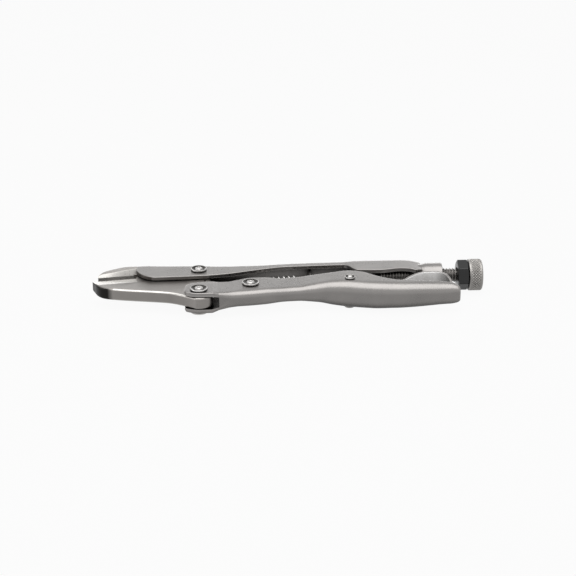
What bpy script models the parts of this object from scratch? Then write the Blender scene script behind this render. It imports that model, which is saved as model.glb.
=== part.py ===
"""Locking pinch-off pliers lying on their side, in metres, +Z up.

X runs along the adjusting screw, rearwards from the jaws. Y points from the lever handle to the back of
the fixed handle. Every form is laid out from the jaw pivot at mid-thickness, and the finished tool is then
set down with the middle of its lowest plane on the world's origin.
"""

import math

import bmesh
import bpy
from mathutils import Matrix, Vector

# Fits and cuts
FIT_GAP = 0.0003
CUT_OVERRUN = 0.006
LEAST_FOLD = 0.0003
FOLD_STEPS = 5

# Fixed handle, a bent channel that ends in a threaded boss
SHEET = 0.0021
THROAT_REACH = 0.0329
CHANNEL_REACH = 0.1185
HANDLE_BACK = 0.0097
HANDLE_SKIRT = 0.0093
REAR_HALF_WIDTH = 0.0065
FRONT_CORNER = 0.0025
REAR_CORNER = 0.0036
BOSS_RADIUS = 0.0067
BOSS_LENGTH = 0.0095
NECK_RADIUS = 0.0061
NECK_LENGTH = 0.0030
BOSS_EDGE = 0.0006

# Forged jaws
JAW_THICKNESS = 0.0064
JAW_REACH = 0.0558
LAND_LENGTH = 0.0226
LAND_START = 0.0062
LAND_RISE = 0.0037
LAND_HALF_THICKNESS = 0.0023
JAW_GAP = 0.0049
JAW_BEVEL_DEPTH = 0.0070
EYE_RADIUS = 0.0049
LOWER_EYE_RADIUS = 0.0060
JAW_SHANK = 0.0063
NOSE_SETBACK = 0.0026
NOSE_HEIGHT = 0.0069
NOSE_TIP_HALF_THICKNESS = 0.0030
NOSE_BEVEL = 0.0014
NOSE_CORNER = 0.0012
TANG_LENGTH = 0.0210
TANG_SEAT = 0.0003

# Lever handle, a bent channel that narrows to a waist and widens to a grip
LEVER_SHEET = 0.0021
LEVER_REACH = 0.1355
LEVER_BELLY = 0.0054
LEVER_RISE = 0.0190
EAR_FRONT = 0.0073
WEB_START = 0.0104
WINDOW_NECK_SHARE = 0.62
WINDOW_END_SHARE = 0.46
WAIST_HALF_WIDTH = 0.0040
GRIP_HALF_WIDTH = 0.0074
EAR_CORNER = 0.0006
WAIST_CORNER = 0.0030
GRIP_CORNER = 0.0058

# Places of the pivots
EYE_DROP = 0.0276
LINK_PIVOT_AHEAD = 0.0269
LINK_PIVOT_RISE = 0.0098
RELEASE_PIVOT_AHEAD = 0.0786
RELEASE_PIVOT_RISE = 0.0075

# Rivets and the release lever's pin
RIVET_SHANK = 0.0024
JAW_HEAD_RADIUS = 0.0042
LEVER_HEAD_RADIUS = 0.0045
LINK_HEAD_RADIUS = 0.0044
HEAD_HEIGHT = 0.0013
HEAD_WALL_SHARE = 0.55
HEAD_BROW_SHARE = 0.96
HEAD_FLAT_SHARE = 0.5
PIN_SHANK = 0.0015
PIN_HEAD_RADIUS = 0.0027
PIN_HEAD_HEIGHT = 0.0011

# Toggle link
LINK_LENGTH = 0.0698
LINK_EYE_RADIUS = 0.0046
LINK_HALF_HEIGHT = 0.0031
NOSE_CLEARANCE = 0.0023

# Release lever
RELEASE_REACH = 0.0540
RELEASE_ARCH = 0.0112
RELEASE_STRIP = 0.0014
RELEASE_EYE_RADIUS = 0.0034
RELEASE_ARM_SHARE = 0.84
ARM_SPAN_SHARES = (-0.08, 0.20)

# Tension spring
SPRING_WIRE = 0.0010
SPRING_DIAMETER = 0.0050
SPRING_COILS = 7
SPRING_PITCH = 0.0027
SPRING_HOLE_AHEAD = 0.0032
SPRING_HOLE_DROP = 0.0096
SPRING_START = 0.0305
ANCHOR_REACH = 0.0585
ANCHOR_DROP = 0.0015
ANCHOR_SHEET = 0.0014
ANCHOR_HALF_WIDTH = 0.0023
HOOK_LENGTH = 0.0021
COIL_POINTS = 10

# Adjusting screw, lock nut and knob
SCREW_RADIUS = 0.0038
SCREW_EDGE = 0.0006
NUT_BACK_OFF = 0.0082
NUT_FLATS = 0.0143
NUT_THICKNESS = 0.0057
NUT_TURN = math.radians(45)
KNOB_RADIUS = 0.00845
KNOB_LENGTH = 0.0072
KNOB_EDGE = 0.0012
KNOB_BREAK_SHARE = 0.3
NUT_CHAMFER_SHARE = 0.6
SPIGOT_RADIUS = 0.0026
SPIGOT_DEPTH = 0.0050

# Smoothness of round forms
ROUND_SIDES = 32
SMALL_SIDES = 20
EYE_STEPS = 14

# Sizes that follow from the ones above
JAW_HALF = JAW_THICKNESS / 2
FRONT_HALF_WIDTH = JAW_HALF + FIT_GAP + SHEET
EAR_HALF_WIDTH = JAW_HALF + FIT_GAP + LEVER_SHEET
LINK_HALF = WAIST_HALF_WIDTH - LEVER_SHEET - FIT_GAP
JAW_PIVOT = Vector((0, 0, 0))
LEVER_PIVOT = Vector((0, -EYE_DROP, 0))
LINK_PIVOT = LEVER_PIVOT + Vector((LINK_PIVOT_AHEAD, LINK_PIVOT_RISE, 0))
RELEASE_PIVOT = LEVER_PIVOT + Vector((RELEASE_PIVOT_AHEAD, RELEASE_PIVOT_RISE, 0))
LINK_ANGLE = math.asin(-LINK_PIVOT.y / LINK_LENGTH)
LINK_NOSE_X = LINK_PIVOT.x + LINK_LENGTH * math.cos(LINK_ANGLE)
SCREW_TIP_X = LINK_NOSE_X + NOSE_CLEARANCE
BOSS_FACE_X = CHANNEL_REACH + BOSS_LENGTH + NECK_LENGTH / 2
NUT_X = BOSS_FACE_X + NUT_BACK_OFF
KNOB_X = NUT_X + NUT_THICKNESS + FIT_GAP
LAND_SLOPE = LAND_RISE / LAND_LENGTH
RIVET_HOLE = RIVET_SHANK + FIT_GAP
PIN_HOLE = PIN_SHANK + FIT_GAP
SCREW_HOLE = SCREW_RADIUS + FIT_GAP
SPRING_HOOK = Vector((SPRING_HOLE_AHEAD, -SPRING_HOLE_DROP, 0))
SPRING_ANCHOR = Vector((ANCHOR_REACH, -ANCHOR_DROP, 0))
SPRING_LINE = SPRING_ANCHOR - SPRING_HOOK
SPRING_ANGLE = math.atan2(SPRING_LINE.y, SPRING_LINE.x)
WIRE_HOLE = SPRING_WIRE / 2 + FIT_GAP

# Fixed handle's sections, front to rear: place along (forward shares are of THROAT_REACH, rearward ones of
# CHANNEL_REACH), height of the back, depth of the cheeks' edge, and how far the width and then the folds are
# gone from the front's to the rear's
HANDLE_SHARES = (
    (-1.000, 0.900, -0.050, 0.00, 0.00),
    (-0.940, 0.925, 0.400, 0.00, 0.00),
    (-0.875, 0.940, 0.670, 0.00, 0.00),
    (-0.795, 0.932, 0.870, 0.00, 0.00),
    (-0.690, 0.895, 0.980, 0.00, 0.00),
    (-0.456, 0.845, 0.946, 0.00, 0.00),
    (0.000, 0.773, 0.860, 0.00, 0.00),
    (0.118, 0.665, 0.645, 0.00, 0.00),
    (0.253, 0.690, 0.130, 0.00, 0.00),
    (0.388, 0.856, -0.290, 0.00, 0.00),
    (0.506, 0.940, -0.366, 0.00, 0.00),
    (0.633, 0.990, -0.420, 0.00, 0.00),
    (0.652, 0.995, -0.400, 0.10, 0.10),
    (0.669, 1.000, -0.220, 0.35, 0.35),
    (0.688, 1.000, 0.280, 0.70, 0.70),
    (0.709, 1.000, 0.613, 0.95, 0.95),
    (0.810, 1.000, 0.700, 1.00, 1.00),
    (0.903, 0.990, 0.490, 1.00, 1.00),
    (0.940, 0.970, 0.560, 0.95, 1.20),
    (0.967, 0.930, 0.700, 0.72, 1.55),
    (1.000, 0.800, 0.560, 0.10, 1.40),
)

# Lever handle's ears, front to rear: place ahead of the pivot in EAR_FRONT or behind it in WEB_START, depth
# of the lower outline in LEVER_BELLY, height of the upper one in LEVER_RISE, and how far width and folds are
# from the ears' to the waist's
EAR_SHARES = (
    (-1.00, 0.26, 0.163, 0.00),
    (-0.90, 0.54, 0.320, 0.00),
    (-0.70, 0.74, 0.426, 0.00),
    (-0.41, 0.89, 0.505, 0.00),
    (0.00, 1.00, 0.547, 0.00),
    (0.32, 1.00, 0.565, 0.00),
    (0.62, 0.97, 0.586, 0.00),
    (0.80, 0.90, 0.602, 0.18),
    (1.04, 0.80, 0.632, 0.52),
)

# Lever handle's channel behind the ears: place along in LEVER_REACH, depth of the back in LEVER_BELLY,
# height of the edge in LEVER_RISE, and how far width and folds are from the waist's to the grip's
LEVER_SHARES = (
    (0.106, 0.69, 0.663, 0.13, -0.3),
    (0.148, 0.48, 0.810, 0.12, 0.0),
    (0.199, 0.31, 0.963, 0.12, 0.0),
    (0.251, 0.07, 0.980, 0.12, 0.0),
    (0.325, -0.30, 0.930, 0.00, 0.0),
    (0.384, -0.46, 1.000, 0.02, 0.0),
    (0.421, -0.52, 1.000, 0.20, 0.2),
    (0.462, -0.52, 0.990, 0.44, 0.5),
    (0.517, -0.28, 0.947, 0.82, 0.8),
    (0.576, 0.07, 0.975, 1.00, 1.0),
    (0.635, 0.43, 0.863, 1.00, 1.0),
    (0.679, 0.63, 0.574, 1.00, 1.0),
    (0.731, 0.70, 0.347, 0.95, 1.0),
    (0.768, 0.72, 0.258, 0.91, 0.9),
    (0.841, 0.63, 0.242, 0.82, 0.9),
    (0.923, 0.44, 0.205, 0.65, 0.8),
    (0.967, 0.35, 0.174, 0.52, 0.6),
    (0.989, 0.30, 0.140, 0.30, 0.3),
    (1.000, 0.26, 0.095, 0.00, 0.0),
)

# Lower jaw's outer edge from the tip to the lever pivot: shares of JAW_REACH and of EYE_DROP
JAW_EDGE_SHARES = (
    (-1.000, -0.225),
    (-0.977, -0.350),
    (-0.955, -0.465),
    (-0.921, -0.565),
    (-0.880, -0.625),
    (-0.824, -0.668),
    (-0.695, -0.735),
    (-0.493, -0.815),
    (-0.360, -0.868),
    (-0.271, -0.915),
    (-0.200, -0.985),
    (-0.127, -1.075),
)

# Lower jaw's edge under the upper jaw's tang, from the throat to the jaw pivot: shares of THROAT_REACH
# and of EYE_RADIUS
JAW_TOP_SHARES = (
    (-0.973, 0.04),
    (-0.850, 0.12),
    (-0.330, 0.20),
    (-0.145, 0.45),
)

# Upper jaw's nose from its tip to the handle: place along the nose, height of its back in NOSE_HEIGHT, and
# how far its thickness has grown from the tip's to the handle's
NOSE_SHARES = (
    (0.00, 0.16, 0.00),
    (0.04, 0.30, 0.12),
    (0.11, 0.52, 0.26),
    (0.22, 0.66, 0.36),
    (0.34, 0.76, 0.46),
    (0.56, 0.92, 0.66),
    (0.78, 1.00, 0.86),
    (1.00, 1.00, 1.00),
)

# Release lever's strip from its toe to its tail: shares of RELEASE_REACH ahead of its pin and of
# RELEASE_ARCH above it, and the strip's half-width as a share of the fixed handle's front
RELEASE_SHARES = (
    (-0.170, 0.740, 0.50),
    (-0.074, 0.600, 0.84),
    (0.000, 0.430, 0.84),
    (0.110, 0.130, 0.84),
    (0.250, -0.120, 0.84),
    (0.390, -0.200, 0.84),
    (0.510, 0.100, 0.88),
    (0.610, 0.580, 0.96),
    (0.705, 0.920, 1.00),
    (0.796, 0.990, 1.00),
    (0.880, 0.970, 1.00),
    (0.946, 0.800, 0.96),
    (0.985, 0.450, 0.74),
    (1.000, 0.080, 0.45),
    (1.000, -0.030, 0.41),
)


def mix(first, last, share):
    """The value that lies a share of the way from first to last."""
    return first + (last - first) * share


def clear_scene():
    """Take every object out of the open file."""
    for item in list(bpy.data.objects):
        bpy.data.objects.remove(item, do_unlink=True)


def finish(name, colour, roughness, metallic):
    """A metal or paint of its own for one sub-part."""
    coat = bpy.data.materials.new(name + "_finish")
    coat.use_nodes = True
    shader = coat.node_tree.nodes["Principled BSDF"]
    shader.inputs["Base Color"].default_value = (*colour, 1)
    shader.inputs["Roughness"].default_value = roughness
    shader.inputs["Metallic"].default_value = metallic
    return coat


NICKEL = ((0.42, 0.40, 0.385), 0.36, 1.0)
FORGED = ((0.38, 0.365, 0.35), 0.42, 1.0)
BRIGHT = ((0.55, 0.53, 0.51), 0.28, 1.0)
BLACK_STEEL = ((0.045, 0.045, 0.048), 0.38, 1.0)
KNURLED = ((0.30, 0.29, 0.28), 0.50, 1.0)


def add_object(name, data, pivot, parent, look):
    """Link an object whose geometry is laid out from the jaw pivot, and put its origin on its pivot."""
    item = bpy.data.objects.new(name, data)
    bpy.context.scene.collection.objects.link(item)
    data.transform(Matrix.Translation(-pivot))
    item.parent = parent
    item.location = pivot - parent_pivot(parent)
    item["pivot"] = tuple(pivot)
    if look:
        data.materials.append(finish(name, *look))
    return item


def parent_pivot(parent):
    """Where a parent's origin stands, laid out from the jaw pivot."""
    return Vector(parent["pivot"]) if parent else Vector((0, 0, 0))


def mesh_from(bm, smooth_angle=math.radians(35)):
    """A mesh with outward faces, shaded smooth where its faces meet gently."""
    bmesh.ops.recalc_face_normals(bm, faces=bm.faces)
    mesh = bpy.data.meshes.new("form")
    bm.to_mesh(mesh)
    bm.free()
    mesh.shade_smooth()
    mesh.set_sharp_from_angle(angle=smooth_angle)
    return mesh


def loft(rings):
    """Skin a row of closed rings that have the same number of points, with a face on each end."""
    bm = bmesh.new()
    rows = [[bm.verts.new(point) for point in ring] for ring in rings]
    count = len(rows[0])
    for near, far in zip(rows, rows[1:]):
        for i in range(count):
            j = (i + 1) % count
            bm.faces.new((near[i], near[j], far[j], far[i]))
    for ends in (rows[0], rows[-1]):
        bm.faces.new(ends)
    return bm


def extrude_outline(outline, low, high):
    """A flat plate of the given outline between two heights."""
    return loft([[(x, y, z) for x, y in outline] for z in (low, high)])


def turn_profile(profile, sides, axis="Z"):
    """A solid of revolution from (place along the axis, radius) pairs; a radius of zero closes an end."""
    bm = bmesh.new()
    rows = []
    for along, radius in profile:
        angles = [2 * math.pi * (i + 1 / 2) / sides for i in range(sides)] if radius else [0]
        row = []
        for angle in angles:
            side, up = radius * math.cos(angle), radius * math.sin(angle)
            row.append(bm.verts.new((side, up, along) if axis == "Z" else (along, side, up)))
        rows.append(row)
    for near, far in zip(rows, rows[1:]):
        for i in range(sides):
            j = (i + 1) % sides
            corners = [near[i % len(near)], near[j % len(near)], far[j % len(far)], far[i % len(far)]]
            bm.faces.new(list(dict.fromkeys(corners)))
    return bm


def cylinder(radius, low, high, sides, axis="Z"):
    """A plain round bar between two places on its axis."""
    return turn_profile(((low, 0), (low, radius), (high, radius), (high, 0)), sides, axis)


def moved(bm, offset):
    """Shift a form that was laid out on its own axis to its place."""
    bmesh.ops.translate(bm, verts=bm.verts, vec=offset)
    return bm


def add_tool(item, bm, operation):
    """Cut a form out of an object, or join it on, with an exact Boolean."""
    mesh = mesh_from(bm)
    tool = add_object(item.name + "_" + operation.lower(), mesh, parent_pivot(item), item, None)
    tool.hide_render = True
    tool.display_type = "WIRE"
    step = item.modifiers.new(operation.title(), "BOOLEAN")
    step.operation = operation
    step.solver = "EXACT"
    step.object = tool


def arc(centre, radius, start, end, steps):
    """Points of an arc in plan, its angles in degrees."""
    turns = [math.radians(mix(start, end, i / steps)) for i in range(steps + 1)]
    return [(centre.x + radius * math.cos(t), centre.y + radius * math.sin(t)) for t in turns]


def ease_slopes(places, values):
    """Slopes of a curve through the values that never overshoots them."""
    rises = [(b - a) / (q - p) for p, q, a, b in zip(places, places[1:], values, values[1:])]
    slopes = [rises[0]]
    for before, after in zip(rises, rises[1:]):
        slopes.append(2 * before * after / (before + after) if before * after > 0 else 0)
    return slopes + [rises[-1]]


def eased_rows(rows, steps):
    """Rows of section values with further rows between them, eased from one to the next."""
    places = [row[0] for row in rows]
    columns = list(zip(*rows))[1:]
    slopes = [ease_slopes(places, column) for column in columns]
    result = []
    for i in range(len(rows) - 1):
        span = places[i + 1] - places[i]
        for k in range(steps):
            t = k / steps
            row = [places[i] + span * t]
            for column, slope in zip(columns, slopes):
                held = (1 + 2 * t) * (1 - t) ** 2 * column[i] + t * t * (3 - 2 * t) * column[i + 1]
                bent = t * (1 - t) ** 2 * slope[i] - t * t * (1 - t) * slope[i + 1]
                row.append(held + span * bent)
            result.append(row)
    return result + [list(rows[-1])]


def smooth_path(points, steps):
    """A curve through every point of a path in any number of directions."""
    closed = [points[0], *points, points[-1]]
    result = []
    for a, b, c, d in zip(closed, closed[1:], closed[2:], closed[3:]):
        for k in range(steps):
            t = k / steps
            row = []
            for p, q, r, s in zip(a, b, c, d):
                bend = 2 * p - 5 * q + 4 * r - s
                twist = 3 * q - p - 3 * r + s
                row.append(q + t * (r - p + t * (bend + t * twist)) / 2)
            result.append(row)
    return result + [list(points[-1])]


def channel_ring(x, side, back, edge, half_width, fold, sheet):
    """One U-shaped section of a bent channel. Back and edge are measured towards side, +1 or -1."""
    skins = []
    for inset, radius in ((0, fold), (sheet, max(fold - sheet, LEAST_FOLD))):
        wall = half_width - inset
        row = [(edge, wall)]
        for k in range(FOLD_STEPS + 1):
            turn = math.pi / 2 * k / FOLD_STEPS
            depth = back - inset - radius + radius * math.sin(turn)
            row.append((depth, wall - radius + radius * math.cos(turn)))
        skins.append(row + [(depth, -height) for depth, height in reversed(row)])
    outline = skins[0] + skins[1][::-1]
    return [(x, side * depth, height) for depth, height in outline]


def channel(rings):
    """Skin the U-shaped sections of a bent channel, closing each end along its sheet."""
    bm = loft(rings)
    half = len(rings[0]) // 2
    bm.faces.ensure_lookup_table()
    for cap in list(bm.faces)[-2:]:
        corners = list(cap.verts)
        bm.faces.remove(cap)
        for i in range(half - 1):
            pair = (corners[i], corners[i + 1], corners[-2 - i], corners[-1 - i])
            bm.faces.new(pair)
    return bm


def handle_section(along, back, edge, wide, rounded):
    """One section of the fixed handle from its row of shares."""
    x = along * (CHANNEL_REACH if along > 0 else THROAT_REACH)
    half_width = mix(FRONT_HALF_WIDTH, REAR_HALF_WIDTH, wide)
    fold = mix(FRONT_CORNER, REAR_CORNER, rounded)
    return channel_ring(x, 1, back * HANDLE_BACK, -edge * HANDLE_SKIRT, half_width, fold, SHEET)


def boss_form():
    """The round boss and its waisted neck at the channel's rear end."""
    shoulder = BOSS_FACE_X - BOSS_LENGTH
    profile = (
        (shoulder - NECK_LENGTH, 0),
        (shoulder - NECK_LENGTH, NECK_RADIUS),
        (shoulder - BOSS_EDGE, NECK_RADIUS),
        (shoulder, mix(NECK_RADIUS, BOSS_RADIUS, 1 / 2)),
        (shoulder + BOSS_EDGE, BOSS_RADIUS),
        (BOSS_FACE_X - BOSS_EDGE, BOSS_RADIUS),
        (BOSS_FACE_X, BOSS_RADIUS - BOSS_EDGE),
        (BOSS_FACE_X, 0),
    )
    return turn_profile(profile, ROUND_SIDES, "X")


def anchor_tongue():
    """The tongue that hangs from the handle's back and holds the spring's rear end."""
    near, far = SPRING_ANCHOR.x, SPRING_ANCHOR.x + ANCHOR_SHEET
    foot = SPRING_ANCHOR.y - WIRE_HOLE - ANCHOR_SHEET
    rows = eased_rows(HANDLE_SHARES, 1)
    backs = [row[1] for row in rows if row[0] * CHANNEL_REACH > near]
    top = backs[0] * HANDLE_BACK - SHEET / 2
    return extrude_outline(((near, foot), (far, foot), (far, top), (near, top)), -ANCHOR_HALF_WIDTH,
                           ANCHOR_HALF_WIDTH)


def along_spring(bm):
    """Lay a form drawn along +X from the jaw's hook hole onto the spring's line."""
    bm.transform(Matrix.Translation(SPRING_HOOK) @ Matrix.Rotation(SPRING_ANGLE, 4, "Z"))
    return bm


def make_fixed_handle(base):
    """The upper handle: channel, boss, screw bore, rivet hole and the spring's tongue."""
    rings = [handle_section(*row) for row in eased_rows(HANDLE_SHARES, 2)]
    item = add_object("fixed_handle", mesh_from(channel(rings)), JAW_PIVOT, base, NICKEL)
    add_tool(item, boss_form(), "UNION")
    add_tool(item, anchor_tongue(), "UNION")
    bore_start = BOSS_FACE_X - BOSS_LENGTH - NECK_LENGTH - CUT_OVERRUN
    bore = cylinder(SCREW_HOLE, bore_start, BOSS_FACE_X + CUT_OVERRUN, ROUND_SIDES, "X")
    add_tool(item, bore, "DIFFERENCE")
    reach = FRONT_HALF_WIDTH + CUT_OVERRUN
    add_tool(item, cylinder(RIVET_HOLE, -reach, reach, SMALL_SIDES), "DIFFERENCE")
    line = SPRING_LINE.length
    wire = cylinder(WIRE_HOLE, line - CUT_OVERRUN / 2, line + CUT_OVERRUN / 2, SMALL_SIDES // 2, "X")
    add_tool(item, along_spring(wire), "DIFFERENCE")


def land_height(x):
    """Height of the lower jaw's pinching land at a place along the tool."""
    return -LAND_START + (x + JAW_REACH) * LAND_SLOPE


def nose_ring(along, back, grown):
    """One section of the upper jaw's nose, from its land round its bevels to its rounded back."""
    x = mix(NOSE_SETBACK - JAW_REACH, -THROAT_REACH - FIT_GAP, along)
    land = land_height(x) + JAW_GAP
    top = mix(land, land_height(-THROAT_REACH) + JAW_GAP + NOSE_HEIGHT, back)
    half = mix(NOSE_TIP_HALF_THICKNESS, FRONT_HALF_WIDTH - FIT_GAP, grown)
    rise = min(NOSE_BEVEL, (top - land) / 3)
    corner = min(NOSE_CORNER, (top - land) / 3)
    side = [
        (land, LAND_HALF_THICKNESS),
        (land + rise, half),
        (top - corner, half),
        (top - corner * (1 - math.sqrt(1 / 2)), half - corner * (1 - math.sqrt(1 / 2))),
        (top, half - corner),
    ]
    outline = side + [(height, -depth) for height, depth in reversed(side)]
    return [(x, height, depth) for height, depth in outline]


def tang_form():
    """The upper jaw's tang, which lies under the channel's back over the lower jaw's edge."""
    front = -THROAT_REACH - TANG_SEAT - NOSE_CORNER
    rear = front + TANG_LENGTH
    top_front = HANDLE_SHARES[0][1] * HANDLE_BACK - SHEET - FIT_GAP - TANG_SEAT
    top_rear = HANDLE_SHARES[5][1] * HANDLE_BACK - SHEET - FIT_GAP - TANG_SEAT
    floor = JAW_TOP_SHARES[2][1] * EYE_RADIUS + TANG_SEAT + FIT_GAP
    outline = ((front, floor + FIT_GAP), (rear, floor), (rear, top_rear), (front, top_front))
    return extrude_outline(outline, -JAW_HALF, JAW_HALF)


def make_upper_jaw(base):
    """The forged nose with its tang."""
    rings = [nose_ring(*row) for row in eased_rows(NOSE_SHARES, 2)]
    item = add_object("upper_jaw", mesh_from(loft(rings)), JAW_PIVOT, base, FORGED)
    add_tool(item, tang_form(), "UNION")


def lower_jaw_outline():
    """Plan of the lower jaw, counter-clockwise from the tip of its land."""
    points = [(share_x * JAW_REACH, share_y * EYE_DROP) for share_x, share_y in JAW_EDGE_SHARES]
    points += arc(LEVER_PIVOT, LOWER_EYE_RADIUS, 250, 360, EYE_STEPS)
    points += [(JAW_SHANK, -SPRING_HOLE_DROP - RIVET_HOLE), (JAW_SHANK, -SPRING_HOLE_DROP + RIVET_HOLE)]
    points += arc(JAW_PIVOT, EYE_RADIUS, -8, 148, EYE_STEPS)
    points += [(along * THROAT_REACH, rise * EYE_RADIUS) for along, rise in reversed(JAW_TOP_SHARES)]
    throat = LAND_LENGTH - JAW_REACH
    return points + [(throat, land_height(throat)), (-JAW_REACH, land_height(-JAW_REACH))]


def land_bevel(sign):
    """The wedge that thins the lower jaw towards its land on one side."""
    length = LAND_LENGTH / math.cos(math.atan(LAND_SLOPE))
    slope = (JAW_HALF - LAND_HALF_THICKNESS) / JAW_BEVEL_DEPTH
    over = LAND_HALF_THICKNESS
    near, far = over, -JAW_BEVEL_DEPTH - over
    profile = ((near, LAND_HALF_THICKNESS - slope * near), (far, LAND_HALF_THICKNESS - slope * far),
               (far, JAW_HALF + over), (near, JAW_HALF + over))
    ends = (-CUT_OVERRUN, length)
    bm = loft([[(x, y, sign * z) for y, z in profile] for x in ends])
    tip = Vector((-JAW_REACH, land_height(-JAW_REACH), 0))
    bm.transform(Matrix.Translation(tip) @ Matrix.Rotation(math.atan(LAND_SLOPE), 4, "Z"))
    return bm


def make_lower_jaw(base):
    """The forged jaw that swings in the fixed handle and carries the lever handle."""
    form = extrude_outline(lower_jaw_outline(), -JAW_HALF, JAW_HALF)
    item = add_object("lower_jaw", mesh_from(form), JAW_PIVOT, base, FORGED)
    add_tool(item, land_bevel(1), "DIFFERENCE")
    add_tool(item, land_bevel(-1), "DIFFERENCE")
    reach = JAW_HALF + CUT_OVERRUN
    add_tool(item, cylinder(RIVET_HOLE, -reach, reach, SMALL_SIDES), "DIFFERENCE")
    add_tool(item, moved(cylinder(RIVET_HOLE, -reach, reach, SMALL_SIDES), LEVER_PIVOT), "DIFFERENCE")
    add_tool(item, moved(cylinder(WIRE_HOLE, -reach, reach, SMALL_SIDES), SPRING_HOOK), "DIFFERENCE")
    slot = ((0, -WIRE_HOLE), (CUT_OVERRUN, -WIRE_HOLE), (CUT_OVERRUN, WIRE_HOLE), (0, WIRE_HOLE))
    add_tool(item, along_spring(extrude_outline(slot, -WIRE_HOLE, WIRE_HOLE)), "DIFFERENCE")
    return item


def rivet_form(half_width, head_radius, shank, height):
    """A shank with a low domed head on each side of what it holds."""
    seat = half_width + FIT_GAP
    half = [
        (seat, shank),
        (seat, head_radius),
        (seat + height * HEAD_WALL_SHARE, head_radius * HEAD_BROW_SHARE),
        (seat + height, head_radius * HEAD_FLAT_SHARE),
        (seat + height, 0),
    ]
    return turn_profile([(-along, radius) for along, radius in reversed(half)] + half, ROUND_SIDES)


def make_rivet(name, place, half_width, head_radius, shank, height, parent):
    """One rivet or pin, upright on its pivot."""
    form = moved(rivet_form(half_width, head_radius, shank, height), place)
    return add_object(name, mesh_from(form), place, parent, BRIGHT)


def ear_section(along, belly, rise, closed):
    """One section of the lever handle's ears from its row of shares."""
    x = LEVER_PIVOT.x + along * (WEB_START if along > 0 else EAR_FRONT)
    half_width = mix(EAR_HALF_WIDTH, WAIST_HALF_WIDTH, closed)
    fold = mix(EAR_CORNER, WAIST_CORNER, closed)
    return channel_ring(x, -1, -LEVER_PIVOT.y + belly * LEVER_BELLY, -LEVER_PIVOT.y - rise * LEVER_RISE,
                        half_width, fold, LEVER_SHEET)


def lever_section(along, belly, rise, wide, rounded):
    """One section of the lever handle's channel from its row of shares."""
    x = LEVER_PIVOT.x + along * LEVER_REACH
    half_width = mix(WAIST_HALF_WIDTH, GRIP_HALF_WIDTH, wide)
    fold = mix(WAIST_CORNER, GRIP_CORNER, rounded)
    return channel_ring(x, -1, -LEVER_PIVOT.y + belly * LEVER_BELLY, -LEVER_PIVOT.y - rise * LEVER_RISE,
                        half_width, fold, LEVER_SHEET)


def web_window():
    """What is cut from between the ears, so that the lower jaw's eye stands there in the open."""
    floor = LEVER_PIVOT.y - LEVER_BELLY - CUT_OVERRUN
    top = LEVER_PIVOT.y + LEVER_SHEET
    rings = []
    front = -EAR_FRONT - CUT_OVERRUN
    for x, closed in ((front, 0), (WINDOW_NECK_SHARE * WEB_START, 0), (WEB_START, WINDOW_END_SHARE)):
        half = mix(EAR_HALF_WIDTH, WAIST_HALF_WIDTH, closed) - LEVER_SHEET
        place = LEVER_PIVOT.x + x
        rings.append([(place, floor, -half), (place, top, -half), (place, top, half), (place, floor, half)])
    return loft(rings)


def make_lever_handle(jaw):
    """The lower handle: two ears, waist and rounded grip of one bent sheet."""
    rings = [ear_section(*row) for row in eased_rows(EAR_SHARES, 2)]
    rings += [lever_section(*row) for row in eased_rows(LEVER_SHARES, 2)]
    item = add_object("lever_handle", mesh_from(channel(rings)), LEVER_PIVOT, jaw, NICKEL)
    add_tool(item, web_window(), "DIFFERENCE")
    reach = GRIP_HALF_WIDTH + CUT_OVERRUN
    for place, hole in ((LEVER_PIVOT, RIVET_HOLE), (LINK_PIVOT, RIVET_HOLE), (RELEASE_PIVOT, PIN_HOLE)):
        add_tool(item, moved(cylinder(hole, -reach, reach, SMALL_SIDES), place), "DIFFERENCE")
    return item


def make_toggle_link(lever):
    """The bar from the link pivot to the tip of the adjusting screw."""
    heading = math.degrees(LINK_ANGLE)
    along = Vector((math.cos(LINK_ANGLE), math.sin(LINK_ANGLE), 0))
    nose = LINK_PIVOT + along * (LINK_LENGTH - LINK_HALF_HEIGHT)
    outline = arc(LINK_PIVOT, LINK_EYE_RADIUS, heading + 50, heading + 310, EYE_STEPS)
    outline += arc(nose, LINK_HALF_HEIGHT, heading - 90, heading + 90, EYE_STEPS)
    form = extrude_outline(outline, -LINK_HALF, LINK_HALF)
    item = add_object("toggle_link", mesh_from(form), LINK_PIVOT, lever, FORGED)
    reach = LINK_HALF + CUT_OVERRUN
    add_tool(item, moved(cylinder(RIVET_HOLE, -reach, reach, SMALL_SIDES), LINK_PIVOT), "DIFFERENCE")


def release_path():
    """Middle line of the release lever's strip, with its half-width at each point."""
    rows = []
    for along, rise, width in smooth_path(RELEASE_SHARES, 3):
        x = RELEASE_PIVOT.x + along * RELEASE_REACH
        rows.append((x, RELEASE_PIVOT.y + rise * RELEASE_ARCH, width * FRONT_HALF_WIDTH))
    return rows


def strip_rings(path):
    """Four-cornered sections of a bent strip, square to its middle line."""
    rings = []
    for i, (x, y, half) in enumerate(path):
        before, after = path[max(i - 1, 0)], path[min(i + 1, len(path) - 1)]
        run, rise = after[0] - before[0], after[1] - before[1]
        scale = RELEASE_STRIP / 2 / math.hypot(run, rise)
        across, up = -rise * scale, run * scale
        rings.append([(x - across, y - up, -half), (x + across, y + up, -half),
                      (x + across, y + up, half), (x - across, y - up, half)])
    return rings


def release_arm():
    """Plan of one of the two arms that hang from the strip to the release lever's pin."""
    front, rear = (RELEASE_PIVOT.x + share * RELEASE_REACH for share in ARM_SPAN_SHARES)
    upper = [(x, y) for x, y, half in release_path() if front < x < rear]
    return upper[::-1] + arc(RELEASE_PIVOT, RELEASE_EYE_RADIUS, 190, 320, EYE_STEPS)


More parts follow.
